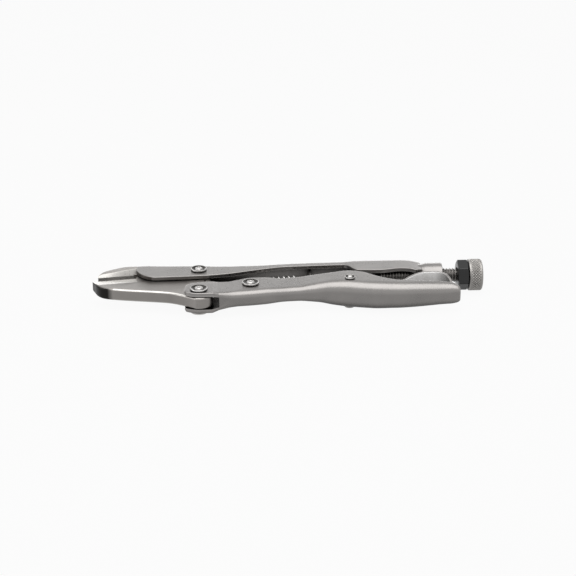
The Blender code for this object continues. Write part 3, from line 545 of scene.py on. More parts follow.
def rounding(radius):
    """How far each step of a rounded edge lies inside the outline, and from the end face."""
    turns = [math.pi / 2 * k / LIP_STEPS for k in range(LIP_STEPS + 1)]
    return [(radius * (1 - math.sin(t)), radius * (1 - math.cos(t))) for t in turns]


def plate(outline, low, high, radius):
    """A flat plate with rounded edges, from a counter-clockwise outline."""
    steps = [(inset, low + shift) for inset, shift in rounding(radius)]
    steps += [(inset, high - shift) for inset, shift in reversed(rounding(radius))]
    return loft([[(x, y, z) for x, y in inset_outline(outline, inset)] for inset, z in steps])


def between(first, last, count):
    """Evenly spaced points inside the straight line from first to last."""
    return [tuple(mix(a, b, (i + 1) / (count + 1)) for a, b in zip(first, last)) for i in range(count)]


def channel_ring(x, side, back, edge, half_width, fold, sheet, inset=0):
    """One U-shaped section of a bent sheet; back and edge are measured towards side."""
    back, edge, outer = back - inset, edge + inset, half_width - inset
    wall = sheet - 2 * inset
    fold_out = max(fold - inset, LEAST_RADIUS)
    fold_in = max(fold - sheet, LEAST_RADIUS) + inset
    lip = max(SHEET_LIP - inset, LEAST_RADIUS)
    inner = outer - wall
    inside = arc((back - wall - fold_in, inner - fold_in), fold_in, 0, 90, FOLD_STEPS)
    lips = arc((edge + lip, inner + lip), lip, 270, 180, LIP_STEPS)
    lips += arc((edge + lip, outer - lip), lip, 180, 90, LIP_STEPS)
    outside = arc((back - fold_out, outer - fold_out), fold_out, 90, 0, FOLD_STEPS)
    skin = inside + between(inside[-1], lips[0], CHEEK_STEPS) + lips
    skin += between(lips[-1], outside[0], CHEEK_STEPS) + outside
    outline = skin + [(depth, -height) for depth, height in reversed(skin)]
    return [(x, side * depth, height) for depth, height in outline]


def channel(rings):
    """Skin the sections of a bent sheet, closing each end along the sheet."""
    bm = loft(rings, capped=False)
    bm.verts.ensure_lookup_table()
    count = len(rings[0])
    half = count // 2
    for start in (0, len(bm.verts) - count):
        ring = bm.verts[start:start + count]
        for part in (ring[:half], ring[half:]):
            for i in range(half // 2 - 1):
                bm.faces.new((part[i], part[i + 1], part[half - 2 - i], part[half - 1 - i]))
        bm.faces.new((ring[0], ring[half - 1], ring[half], ring[count - 1]))
    return bm


def softened_ends(rows, section, square_front=False):
    """Rings of a bent sheet through its rows, the sheet's end faces rounded off."""
    rings = [section(*row) for row in rows]
    first, last = rings[0][0][0], rings[-1][0][0]
    kept = [ring for ring in rings if first + SHEET_LIP < ring[0][0] < last - SHEET_LIP]
    steps = rounding(SHEET_LIP)[:-1]
    starts = rings[:1] if square_front else [section(*rows[0], inset, shift) for inset, shift in steps]
    return starts + kept + [section(*rows[-1], inset, -shift) for inset, shift in reversed(steps)]


def handle_section(along, back, edge, rear, round_share, inset=0, shift=0):
    """One section of the fixed handle from its row of shares."""
    x = along * (CHANNEL_REACH if along > 0 else THROAT_REACH) + shift
    half_width = mix(FRONT_HALF_WIDTH, REAR_HALF_WIDTH, rear)
    fold = mix(FRONT_CORNER, REAR_CORNER, round_share)
    return channel_ring(x, 1, back * HANDLE_BACK, -edge * HANDLE_SKIRT, half_width, fold, SHEET, inset)


def lever_ring(reach, belly, rise, half_width, fold, inset):
    """One section of the lever handle at a reach behind its pivot."""
    back, edge = -LEVER_PIVOT.y + belly * LEVER_BELLY, -LEVER_PIVOT.y - rise * LEVER_RISE
    return channel_ring(LEVER_PIVOT.x + reach, -1, back, edge, half_width, fold, LEVER_SHEET, inset)


def ear_section(along, belly, rise, closed, inset=0, shift=0):
    """One section of the lever handle's ears from its row of shares."""
    reach = along * (WEB_START if along > 0 else EAR_FRONT) + shift
    half_width = mix(EAR_HALF_WIDTH, WAIST_HALF_WIDTH, closed)
    return lever_ring(reach, belly, rise, half_width, mix(EAR_CORNER, WAIST_CORNER, closed), inset)


def lever_section(along, belly, rise, wide, rounded, inset=0, shift=0):
    """One section of the lever handle's channel from its row of shares."""
    half_width = mix(WAIST_HALF_WIDTH, GRIP_HALF_WIDTH, wide)
    fold = mix(WAIST_CORNER, GRIP_CORNER, rounded)
    return lever_ring(along * LEVER_REACH + shift, belly, rise, half_width, fold, inset)


def put(name, data):
    """A new object in the scene."""
    item = bpy.data.objects.new(name, data)
    bpy.context.scene.collection.objects.link(item)
    return item


def raw_object(name, bm):
    """An object of a form, with its faces turned outwards."""
    bmesh.ops.recalc_face_normals(bm, faces=bm.faces)
    mesh = bpy.data.meshes.new(name)
    bm.to_mesh(mesh)
    bm.free()
    return put(name, mesh)


def crisp_broad_faces(mesh):
    """Mark the edges where broad flat faces meet, so that each stays flat."""
    bm = bmesh.new()
    bm.from_mesh(mesh)
    for edge in bm.edges:
        if len(edge.link_faces) == 2 and edge.calc_face_angle(0) > BROAD_EDGE_ANGLE:
            if min(face.calc_area() for face in edge.link_faces) > BROAD_FACE_AREA:
                edge.smooth = False
    bm.to_mesh(mesh)
    bm.free()


def paint_faces(item, look, chosen):
    """Give another finish to the faces that a test of middle and outward direction picks."""
    item.data.materials.append(look)
    for face in item.data.polygons:
        if chosen(face.center - JAW_PIVOT, face.normal):
            face.material_index = len(item.data.materials) - 1


def settle(item):
    """Turn a piece's modifiers into its mesh."""
    graph = bpy.context.evaluated_depsgraph_get()
    mesh = bpy.data.meshes.new_from_object(item.evaluated_get(graph))
    item.modifiers.clear()
    item.data = mesh

def make_piece(node, body, look, form, joins=(), inside=(), cuts=(), smooth=SMOOTH_ANGLE,
               solver="EXACT", bend=None):
    """The detailed form of one node: joined, trimmed and cut by its tools, placed and dressed."""
    item = raw_object(node + "_detailed", form)
    helpers = []
    for operation, tools in (("UNION", joins), ("INTERSECT", inside), ("DIFFERENCE", cuts)):
        for bm in tools:
            helper = raw_object("tool", bm)
            helpers.append(helper)
            step = item.modifiers.new(operation.title(), "BOOLEAN")
            step.operation = operation
            step.solver = solver
            step.object = helper
    settle(item)
    for helper in helpers:
        bpy.data.objects.remove(helper, do_unlink=True)
    item.data.transform(Matrix.Translation(JAW_PIVOT))
    item.data.shade_smooth()
    item.data.set_sharp_from_angle(angle=smooth)
    crisp_broad_faces(item.data)
    step = item.modifiers.new("Flatter", "WEIGHTED_NORMAL")
    step.keep_sharp = True
    settle(item)
    item.data.materials.clear()
    item.data.materials.append(look)
    if bend:
        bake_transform(item)
    else:
        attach(item, body)
    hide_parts(node)
    return item


def boss_form():
    """The round boss, with a waisted neck that runs into the channel."""
    shoulder = BOSS_FACE_X - BOSS_LENGTH
    neck = [(shoulder + along * NECK_LENGTH, wide * NECK_RADIUS) for along, wide in NECK_SHARES]
    boss_start = shoulder + NECK_RISE_SHARE * NECK_LENGTH
    boss = [(boss_start, BOSS_RADIUS), (BOSS_FACE_X, BOSS_RADIUS), (BOSS_FACE_X, 0)]
    return turned(filleted([(neck[0][0], 0)] + neck + boss, BOSS_EDGE, 4), axis="X")


def anchor_tongue():
    """The tongue under the handle's back that holds the spring's rear end."""
    near, far = SPRING_ANCHOR.x, SPRING_ANCHOR.x + ANCHOR_SHEET
    foot = SPRING_ANCHOR.y - WIRE_HOLE - ANCHOR_SHEET
    backs = [row[1] for row in HANDLE_SHARES if row[0] * CHANNEL_REACH > near]
    top = backs[0] * HANDLE_BACK - SHEET / 2
    outline = ((near, foot), (far, foot), (far, top), (near, top))
    return plate(outline, -ANCHOR_HALF_WIDTH, ANCHOR_HALF_WIDTH, PLATE_EDGE)


def fixed_handle(look, edge):
    """The upper handle: bent channel, boss, bore, rivet hole and tongue."""
    form = channel(softened_ends(eased_rows(HANDLE_SHARES, ROW_STEPS), handle_section, square_front=True))
    bore_start = BOSS_FACE_X - BOSS_LENGTH - 2 * NECK_LENGTH - CUT_OVERRUN
    bore = cylinder(SCREW_HOLE, bore_start, BOSS_FACE_X + CUT_OVERRUN, ROUND_SIDES, "X")
    line, over = SPRING_LINE.length, CUT_OVERRUN / 2
    wire = cylinder(WIRE_HOLE, line - over, line + over, SMALL_SIDES // 2, "X")
    cuts = (bore, *holes(FRONT_HALF_WIDTH, (PIVOT, RIVET_HOLE)), along_spring(wire))
    joins = (boss_form(), anchor_tongue())
    handle = make_piece("fixed_handle", "fixed_side", look, form, joins, cuts=cuts)
    # Painted shade: the handle's front sheet edge gets a dark steel
    paint_faces(handle, edge, lambda place, out: place.x < HANDLE_EDGE_END and out.x < -CUT_EDGE_LEAN)


def land_height(x):
    """Height of the lower jaw's pinching land at a place along the tool."""
    return -LAND_START + (x + JAW_REACH) * LAND_SLOPE


def nose_ring(along, back, grown):
    """One section of the upper jaw's nose: land, bevels and rounded back."""
    x = mix(NOSE_SETBACK - JAW_REACH, -THROAT_REACH, along)
    land = land_height(x) + JAW_GAP
    top = mix(land, land_height(-THROAT_REACH) + JAW_GAP + NOSE_HEIGHT, back)
    top = mix(top, min(top, HANDLE_SHARES[0][1] * HANDLE_BACK), along ** 3)
    half = mix(NOSE_TIP_HALF_THICKNESS, FRONT_HALF_WIDTH, grown)
    rise = min(NOSE_BEVEL, (top - land) / 3)
    corner = min(mix(NOSE_CORNER, FRONT_CORNER, along ** 3), (top - land) / 3)
    step = min(NOSE_STEP, rise / 4)
    bevel = [(land, 0), (land, LAND_HALF_THICKNESS), (land + rise, half), (land + rise + step, half - step)]
    side = filleted(bevel, NOSE_STEP / 2, 2)[1:]
    side += [(land + rise + 2 * step, half - step / 3)]
    side += arc((top - corner, half - corner), corner, 90, 0, 5)
    outline = side + [(height, -depth) for height, depth in reversed(side)]
    return [(x, height, depth) for height, depth in outline]


def upper_jaw(look, ground_highlight):
    """The forged nose with its tang, which lies under the channel's back."""
    front = -THROAT_REACH - TANG_SEAT - NOSE_CORNER
    rear = front + TANG_LENGTH
    backs = (HANDLE_SHARES[0][1], HANDLE_SHARES[5][1])
    top_front, top_rear = (back * HANDLE_BACK - SHEET - FIT_GAP - TANG_SEAT for back in backs)
    floor = JAW_TOP_SHARES[2][1] * EYE_RADIUS + TANG_SEAT + FIT_GAP
    outline = ((front, floor + FIT_GAP), (rear, floor), (rear, top_rear), (front, top_front))
    form = loft([nose_ring(*row) for row in eased_rows(NOSE_SHARES, ROW_STEPS)])
    tang = plate(outline, -JAW_HALF, JAW_HALF, PLATE_EDGE)
    nose = make_piece("upper_jaw", "fixed_side", look, form, joins=[tang])
    # Ground bevel faces, their brightness partly a painted highlight
    paint_faces(nose, ground_highlight, lambda place, out: place.x < -THROAT_REACH and out.y < -BEVEL_LEAN)


def lower_jaw_outline():
    """Plan of the lower jaw, counter-clockwise from the tip of its land."""
    points = smooth_path([(along * JAW_REACH, drop * EYE_DROP) for along, drop in JAW_EDGE_SHARES], 4)
    eye = arc(LEVER_PIVOT, LOWER_EYE_RADIUS, 250, 360, EYE_STEPS)
    points += [(x * EYE_STRETCH_SHARE if x > 0 else x, y) for x, y in eye]
    points += [(JAW_SHANK, -SPRING_HOLE_DROP - RIVET_HOLE), (JAW_SHANK, -SPRING_HOLE_DROP + RIVET_HOLE)]
    points += arc(PIVOT, EYE_RADIUS, -8, 148, JAW_EYE_STEPS)
    points += [(along * THROAT_REACH, rise * EYE_RADIUS) for along, rise in reversed(JAW_TOP_SHARES)]
    throat = LAND_LENGTH - JAW_REACH
    return points + [(throat, land_height(throat)), (-JAW_REACH, land_height(-JAW_REACH))]


def land_bevel(sign):
    """The wedge that thins the lower jaw towards its land on one side."""
    length = LAND_LENGTH / math.cos(math.atan(LAND_SLOPE))
    slope = (JAW_HALF - LAND_HALF_THICKNESS) / JAW_BEVEL_DEPTH
    over = LAND_HALF_THICKNESS
    near, far = over, -JAW_BEVEL_DEPTH - over
    profile = [(y, LAND_HALF_THICKNESS - slope * y) for y in (near, far)]
    profile += [(y, JAW_HALF + over) for y in (far, near)]
    bm = loft([[(x, y, sign * z) for y, z in profile] for x in (-CUT_OVERRUN, length)])
    tip = Vector((-JAW_REACH, land_height(-JAW_REACH), 0))
    bm.transform(Matrix.Translation(tip) @ Matrix.Rotation(math.atan(LAND_SLOPE), 4, "Z"))
    return bm


def on_highlit_edge(place, out):
    """Whether a face is on the lower jaw's rounded outer edge, behind its dark tip, where a brighter steel
    paints a highlight.
    """
    behind_tip = TIP_SHADE_END < place.x + JAW_PIVOT.x and place.x < -EYE_RADIUS
    return behind_tip and HIGHLIT_EDGE_LEANS[0] < abs(out.z) < HIGHLIT_EDGE_LEANS[1] and out.y < 0


def lower_jaw(look, ground_highlight, highlit_edge_look):
    """The forged jaw between the fixed handle and the lever handle."""
    slot = ((0, -WIRE_HOLE), (CUT_OVERRUN, -WIRE_HOLE), (CUT_OVERRUN, WIRE_HOLE), (0, WIRE_HOLE))
    cuts = [land_bevel(1), land_bevel(-1)]
    cuts += holes(JAW_HALF, (PIVOT, RIVET_HOLE), (LEVER_PIVOT, RIVET_HOLE), (SPRING_HOOK, WIRE_HOLE))
    cuts.append(along_spring(plate(slot, -WIRE_HOLE, WIRE_HOLE, LEAST_RADIUS)))
    form = plate(lower_jaw_outline(), -JAW_HALF, JAW_HALF, JAW_EDGE_RADIUS)
    jaw = make_piece("lower_jaw", "lower_jaw", look, form, cuts=cuts, solver="MANIFOLD")
    # Ground land faces, their brightness partly a painted highlight
    paint_faces(jaw, ground_highlight, lambda place, out: place.x < LAND_LENGTH - JAW_REACH
                and min(out.y, abs(out.z)) > LAND_LEAN)
    # Painted highlight: a brighter steel along the jaw's rounded outer edge
    paint_faces(jaw, highlit_edge_look, on_highlit_edge)


def web_window():
    """What is cut from between the ears, so that the lower jaw's eye stands open there."""
    floor = LEVER_PIVOT.y - LEVER_BELLY - CUT_OVERRUN
    top = LEVER_PIVOT.y + LEVER_SHEET
    front = -EAR_FRONT - CUT_OVERRUN
    rings = []
    for x, closed in ((front, 0), (WINDOW_NECK_SHARE * WEB_START, 0), (WEB_START, WINDOW_END_SHARE)):
        half = mix(EAR_HALF_WIDTH, WAIST_HALF_WIDTH, closed) - LEVER_SHEET
        place = LEVER_PIVOT.x + x
        rings.append([(place, floor, -half), (place, top, -half), (place, top, half), (place, floor, half)])
    return loft(rings)


def on_web_edge(place, out):
    """Whether a face is on the cut edge of the lever handle's web."""
    near = abs(place.x - LEVER_PIVOT.x - WEB_START) < WEB_EDGE_SPAN
    return near and out.x < -CUT_EDGE_LEAN and abs(place.z) < WAIST_HALF_WIDTH


def lever_handle(look, edge):
    """The lower handle: two ears, waist and rounded grip of one bent sheet."""
    rings = softened_ends(eased_rows(EAR_SHARES, ROW_STEPS), ear_section)[:-LIP_STEPS]
    rings += softened_ends(eased_rows(LEVER_SHARES, ROW_STEPS), lever_section)[LIP_STEPS:]
    spots = ((LEVER_PIVOT, RIVET_HOLE), (LINK_PIVOT, RIVET_HOLE), (RELEASE_PIVOT, PIN_HOLE))
    cuts = [web_window(), *holes(GRIP_HALF_WIDTH, *spots)]
    handle = make_piece("lever_handle", "lever", look, channel(rings), cuts=cuts,
                        solver="MANIFOLD")
    # Painted highlight: the web's cut edge gets the near-white steel
    paint_faces(handle, edge, on_web_edge)


def rivet(node, body, place, half_width, head_radius, look, ring_shade, shank=RIVET_SHANK, height=HEAD_HEIGHT):
    """A shank with a head on each side: rim, sunken ring with painted shade, and dimpled middle."""
    seat = half_width + FIT_GAP
    half = [(seat, shank), (seat, head_radius)]
    half += [(seat + height * rise, head_radius * reach) for reach, rise in HEAD_SHARES]
    half = filleted(half, height * HEAD_ROUNDING_SHARE, 3)
    form = moved(turned([(-along, radius) for along, radius in reversed(half)] + half), place)
    pin = make_piece(node, body, look, form)
    low, high = (share * head_radius for share in RING_SHADE_SHARES)
    # Painted shade: a dark ring on each head
    paint_faces(pin, ring_shade, lambda spot, out: abs(spot.z) > seat and low < (spot - place).xy.length < high)


def toggle_link(look):
    """The bar from the link pivot to the tip of the adjusting screw."""
    heading = math.degrees(LINK_ANGLE)
    along = Vector((math.cos(LINK_ANGLE), math.sin(LINK_ANGLE), 0))
    nose = LINK_PIVOT + along * (LINK_LENGTH - LINK_HALF_HEIGHT)
    outline = arc(LINK_PIVOT, LINK_EYE_RADIUS, heading + 50, heading + 310, LINK_EYE_STEPS)
    outline += arc(nose, LINK_HALF_HEIGHT, heading - 90, heading + 90, EYE_STEPS)
    form = plate(outline, -LINK_HALF, LINK_HALF, PLATE_EDGE)
    cuts = holes(LINK_HALF, (LINK_PIVOT, RIVET_HOLE))
    make_piece("toggle_link", "link", look, form, cuts=cuts)


def strip_ring(x, y, half, run, rise):
    """One section of the release lever's strip, crowned and with rounded edges."""
    length = math.hypot(run, rise)
    across, up = -rise / length, run / length
    thick, lip = RELEASE_STRIP / 2, RELEASE_LIP
    parts = [half * k / STRIP_PARTS for k in range(STRIP_PARTS)]
    side = [(thick, width) for width in parts]
    side += arc((thick - lip, half - lip), lip, 0, 90, LIP_STEPS)
    side += arc((-thick + lip, half - lip), lip, 90, 180, LIP_STEPS)
    side += [(-thick, width) for width in reversed(parts)]
    points = []
    for depth, width in side + [(depth, -width) for depth, width in reversed(side[1:-1])]:
        depth += RELEASE_CROWN * ((width / FRONT_HALF_WIDTH) ** 2 - 1 / 2)
        points.append((x + across * depth, y + up * depth, width))
    return points


def release_lever(look, rim):
    """The strip between the handles, crowned to a finger, on two arms."""
    x, y, _ = RELEASE_PIVOT
    path = [(x + along * RELEASE_REACH, y + rise * RELEASE_ARCH, wide * FRONT_HALF_WIDTH)
            for along, rise, wide in smooth_path(RELEASE_SHARES, STRIP_STEPS)]
    rings = []
    for i, (x, y, half) in enumerate(path):
        before, after = path[max(i - 1, 0)], path[min(i + 1, len(path) - 1)]
        rings.append(strip_ring(x, y, half, after[0] - before[0], after[1] - before[1]))
    front, rear = (RELEASE_PIVOT.x + share * RELEASE_REACH for share in ARM_SPAN_SHARES)
    upper = [(x, y) for x, y, half in path if front < x < rear]
    outline = upper[::-1] + arc(RELEASE_PIVOT, RELEASE_EYE_RADIUS, 190, 320, EYE_STEPS)
    outer = FRONT_HALF_WIDTH * RELEASE_ARM_SHARE
    inner = outer - RELEASE_STRIP
    arms = [plate(outline, low, high, PLATE_EDGE) for low, high in ((inner, outer), (-outer, -inner))]
    cuts = holes(outer, (RELEASE_PIVOT, PIN_HOLE))
    lever = make_piece("release_lever", "release", look, loft(rings), arms, cuts=cuts)
    paint_faces(lever, rim, lambda place, out: abs(out.z) > RIM_LEAN)


def spring_path():
    """The wire's middle line: jaw hook, straight run, coils, straight run, rear hook."""
    radius = (SPRING_DIAMETER - SPRING_WIRE) / 2
    half_wire = SPRING_WIRE / 2
    points = [(0, 0, HOOK_LENGTH), (0, 0, half_wire), (half_wire, 0, 0), (SPRING_START - SPRING_PITCH, 0, 0)]
    for i in range(SPRING_COILS * COIL_POINTS + 1):
        turn = 2 * math.pi * i / COIL_POINTS
        along = SPRING_START + SPRING_PITCH * i / COIL_POINTS
        points.append((along, radius * math.cos(turn), radius * math.sin(turn)))
    end = SPRING_START + SPRING_COILS * SPRING_PITCH + SPRING_PITCH
    tail = SPRING_LINE.length + ANCHOR_SHEET + SPRING_WIRE + FIT_GAP
    points += [(end, 0, 0), (tail, 0, 0)]
    points += [(tail + half_wire, 0, up) for up in (half_wire, HOOK_LENGTH)]
    corners = filleted(points, SPRING_WIRE, 5)
    path = corners[:1]
    for corner in corners[1:]:
        path += between(path[-1], corner, int((Vector(corner) - Vector(path[-1])).length / SPRING_WIRE))
        path.append(corner)
    return [Vector(point) for point in path]


def tension_spring(look):
    """The spring's round wire, from the jaw's hook to the fixed handle's tongue."""
    path = spring_path()
    steps = zip(path[:1] + path, path[1:] + path[-1:])
    tangents = [(after - before).normalized() for before, after in steps]
    side = tangents[0].orthogonal().normalized()
    ring = circle(0, [1] * WIRE_SIDES)
    rings = []
    for point, tangent in zip(path, tangents):
        side = (side - tangent * side.dot(tangent)).normalized()
        other = tangent.cross(side)
        rings.append([point + (side * y + other * z) * SPRING_WIRE / 2 for _, y, z in ring])
    hook = JAW_PIVOT + SPRING_HOOK
    near, far = (hook + SPRING_LINE.normalized() * reach for reach in (HOOK_BEND_START, HOOK_BEND_END))
    make_piece("tension_spring", "fixed_side", look, along_spring(loft(rings)),
               smooth=WIRE_SMOOTH_ANGLE, bend=("lower_jaw", near, far))


def thread_radius(x, around):
    """The screw's radius at a place along it and a share of the way round it."""
    phase = ((x - SCREW_TIP_X) / THREAD_PITCH + around) % 1
    flank = min(max(abs(phase * 2 - 1) * FLANK_SLOPE - CREST_SHARE, 0), 1)
    return min(SCREW_RADIUS - THREAD_DEPTH * flank, SCREW_RADIUS - THREAD_DEPTH + (x - SCREW_TIP_X))


def adjusting_screw(look):
    """The adjusting screw with its thread, and the spigot that carries its knob."""
    end = KNOB_X - FIT_GAP
    count = round((end - SCREW_TIP_X) / THREAD_PITCH * THREAD_ROWS)
    rings = []
    for i in range(count + 1):
        x = mix(SCREW_TIP_X, end, i / count)
        rings.append(circle(x, [thread_radius(x, k / SMALL_SIDES) for k in range(SMALL_SIDES)]))
    rings += [circle(x, [SPIGOT_RADIUS] * SMALL_SIDES) for x in (end, KNOB_X + SPIGOT_DEPTH - FIT_GAP)]
    make_piece("adjusting_screw", "screw", look, loft(rings))


def knurl_height(around, along, fade):
    """How far the diamond knurl stands up, 0 to 1, at a place on the knob."""
    first = abs((around + along) % 1 * 2 - 1)
    second = abs((around - along) % 1 * 2 - 1)
    return 1 - fade * (1 - min(first, second, KNURL_FLAT) / KNURL_FLAT)


def adjusting_knob(look):
    """The knob: diamond knurl, rounded rims and a shallow recess in its end."""
    rear = KNOB_X + KNOB_LENGTH
    hole = SPIGOT_RADIUS + FIT_GAP
    sides = KNURL_COUNT * KNURL_STEPS
    cell = 2 * math.pi * KNOB_RADIUS / KNURL_COUNT
    front_rim = ((KNOB_X, KNOB_RADIUS - KNOB_EDGE), (KNOB_X, KNOB_RADIUS), (rear, KNOB_RADIUS))
    rear_rim = ((KNOB_X, KNOB_RADIUS), (rear, KNOB_RADIUS), (rear, KNOB_RADIUS - 2 * KNOB_EDGE))
    near, far = filleted(front_rim, KNOB_EDGE / 2, 4)[:-1], filleted(rear_rim, KNOB_EDGE, 6)[1:]
    low, high = near[-1][0], far[0][0]
    count = round((high - low) / cell * KNURL_STEPS)
    barrel = [(mix(low, high, i / count), KNOB_RADIUS) for i in range(1, count)]
    profile = [(KNOB_X + SPIGOT_DEPTH, hole), (KNOB_X, hole), *near, *barrel, *far]
    profile += [(rear, KNOB_RADIUS / 2), (rear - KNOB_EDGE / 3, KNOB_RADIUS / 2 - KNOB_EDGE / 3)]
    rings = []
    for x, radius in profile:
        reach = min((x - low) / cell, (high + KNOB_EDGE / 2 - x) / cell)
        fade = min(max(reach, 0), 1) if radius > KNOB_RADIUS * KNURLED_SHARE else 0
        heights = [knurl_height(k / KNURL_STEPS, (x - low) / cell, fade) for k in range(sides)]
        rings.append(circle(x, [radius - KNURL_DEPTH * (1 - height) for height in heights]))
    make_piece("adjusting_knob", "knob", look, loft(rings), smooth=KNURL_SMOOTH_ANGLE)


def lock_nut(look):
    """The hexagon nut, with chamfered corners and a countersunk bore."""
    corner = NUT_FLATS / math.sqrt(3)
    front, rear = NUT_X, NUT_X + NUT_THICKNESS
    turns = [NUT_TURN + math.pi / 3 * i for i in range(-1, 7)]
    hexagon = [(-corner * math.cos(t), corner * math.sin(t)) for t in turns]
    hexagon = filleted(hexagon, NUT_CORNER_RADIUS, 4)[1:-1]
    form = loft([[(x, y, z) for y, z in hexagon] for x in (front, rear)])
    drop = (corner - NUT_FLATS / 2) * NUT_CHAMFER_SHARE
    flat, wide, sink = NUT_FLATS / 2 - FIT_GAP, corner + FIT_GAP, SCREW_HOLE + CUT_OVERRUN + FIT_GAP
    chamfer = ((front, 0), (front, flat), (front + drop, wide), (rear - drop, wide), (rear, flat), (rear, 0))
    bore = ((front - CUT_OVERRUN, 0), (front - CUT_OVERRUN, sink), (front + FIT_GAP, SCREW_HOLE),
            (rear - FIT_GAP, SCREW_HOLE), (rear + CUT_OVERRUN, sink), (rear + CUT_OVERRUN, 0))
    make_piece("lock_nut", "nut", look, form, inside=[turned(chamfer, axis="X")],
               cuts=[turned(bore, axis="X")])


class Nodes:
    """The nodes of a material or a world, with short calls to add and join them."""

    def __init__(self, owner):
        owner.use_nodes = True
        self.tree = owner.node_tree

    def feed(self, socket, value):
        """Join another node's output to a socket, or set a plain value there."""
        if isinstance(value, bpy.types.NodeSocket):
            self.tree.links.new(value, socket)
        else:
            socket.default_value = value

    def add(self, kind, *first, **named):
        """A new node, with values for its first inputs and for inputs or settings by name."""
        node = self.tree.nodes.new("ShaderNode" + kind)
        for name, value in named.items():
            if name in node.inputs:
                self.feed(node.inputs[name], value)
            else:
                setattr(node, name, value)
        for socket, value in zip(node.inputs, first):
            self.feed(socket, value)
        return node

    def math(self, operation, *values):
        """Values joined by one operation."""
        return self.add("Math", *values, operation=operation).outputs[0]

    def span(self, source, low, high, to_low=0, to_high=1):
        """A value moved from one range to another."""
        return self.add("MapRange", source, low, high, to_low, to_high).outputs[0]

    def seen_rays(self, kinds):
        """1 for rays of any of the given kinds, and 0 for the others."""
        path = self.add("LightPath")
        result = path.outputs[kinds[0]]
        for kind in kinds[1:]:
            result = self.math("MAXIMUM", result, path.outputs[kind])
        return result


class Finish(Nodes):
    """A metal's material and the patterns that it is made from."""

    def __init__(self, name):
        self.material = bpy.data.materials.new(name)
        super().__init__(self.material)
        self.shader = self.tree.nodes["Principled BSDF"]
        self.place = self.add("TexCoord").outputs["Object"]

    def noise(self, scale, detail, rough):
        """A noise pattern, its scale in patches per metre."""
        node = self.add("TexNoise", Vector=self.place, Scale=scale, Detail=detail, Roughness=rough)
        return node.outputs["Fac"]

    def ramp(self, source, first, second):
        """From the first colour to the second over the middle of a noise's values."""
        node = self.add("ValToRGB", source)
        for element, position, colour in zip(node.color_ramp.elements, NOISE_MIDDLE, (first, second)):
            element.position = position
            element.color = (*colour, 1)
        return node.outputs["Color"]

    def axis(self, source, index):
        """One coordinate of a place or a direction, by its index."""
        return self.add("SeparateXYZ", source).outputs[index]

    def set(self, socket, value):
        """Give one of the shader's sockets a value."""
        self.feed(self.shader.inputs[socket], value)

    def tint(self, share, colour):
        """Lay a plain colour over the finish by a share."""
        node = self.add("Mix", share, data_type="RGBA")
        below = self.shader.inputs["Base Color"].links[0].from_socket
        for index, value in zip(MIX_INPUTS, (below, (*colour, 1))):
            self.feed(node.inputs[index], value)
        self.set("Base Color", node.outputs[MIX_OUTPUT])


def plated_steel(name, dark, light, recess_shade_tone, gloss, bump, recess=RECESS_REACH, rub=RUB_SHARE, metallic=1):
    """Satin plating: faint blotches, fine grain, worn edges made brighter, and painted shade in the recesses.
    """
    finish = Finish(name)
    blotch, grain, wave = (finish.noise(*noise) for noise in (BLOTCH_NOISE, GRAIN_NOISE, WAVE_NOISE))
    worn = finish.span(finish.add("NewGeometry").outputs["Pointiness"], *WORN_RANGE)
    hollow = finish.add("AmbientOcclusion", samples=RECESS_SAMPLES, Distance=recess).outputs["AO"]
    finish.set("Metallic", metallic)
    finish.set("Base Color", finish.ramp(blotch, dark, light))
    finish.tint(worn, [min(1, c * rub) for c in light])
    # Painted shade: ambient occlusion lays the recess tone over recesses and the channels' insides
    finish.tint(finish.span(hollow, *RECESS_RANGE, 1, 0), recess_shade_tone)
    rough = finish.span(grain, *NOISE_MIDDLE, *(gloss + change for change in GRAIN_GLOSS))
    rough = finish.math("ADD", rough, finish.span(blotch, *NOISE_MIDDLE, *BLOTCH_GLOSS))
    finish.set("Roughness", rough)
    waves = finish.add("Bump", Height=wave, Strength=bump, Distance=WAVE_HEIGHT).outputs[0]
    bump *= GRAIN_SHARE
    grains = finish.add("Bump", Height=grain, Strength=bump, Distance=GRAIN_HEIGHT, Normal=waves).outputs[0]
    finish.set("Normal", grains)
    return finish


def paint_end_shade(finish):
    """Paint a dark reflection over the rear end of the release lever."""
    along = finish.axis(finish.place, 0)
    share = finish.span(along, RELEASE_SHADE_START, RELEASE_SHADE_END, 0, RELEASE_SHADE_SHARE)
    finish.tint(share, RELEASE_SHADE)


def paint_tip_shade(finish):
    """Paint a dark reflection onto the curved wall at the lower jaw's tip."""
    facing = finish.add("NewGeometry").outputs["True Normal"]
    near = finish.span(finish.axis(finish.place, 0), TIP_SHADE_END, TIP_SHADE_START)
    wall = finish.span(finish.math("ABSOLUTE", finish.axis(facing, 2)), *TIP_WALL_LEANS, 1, 0)
    front = finish.span(finish.axis(facing, 0), *TIP_FRONT_LEANS)
    finish.tint(finish.math("MULTIPLY", near, finish.math("MULTIPLY", wall, front)), TIP_SHADE)


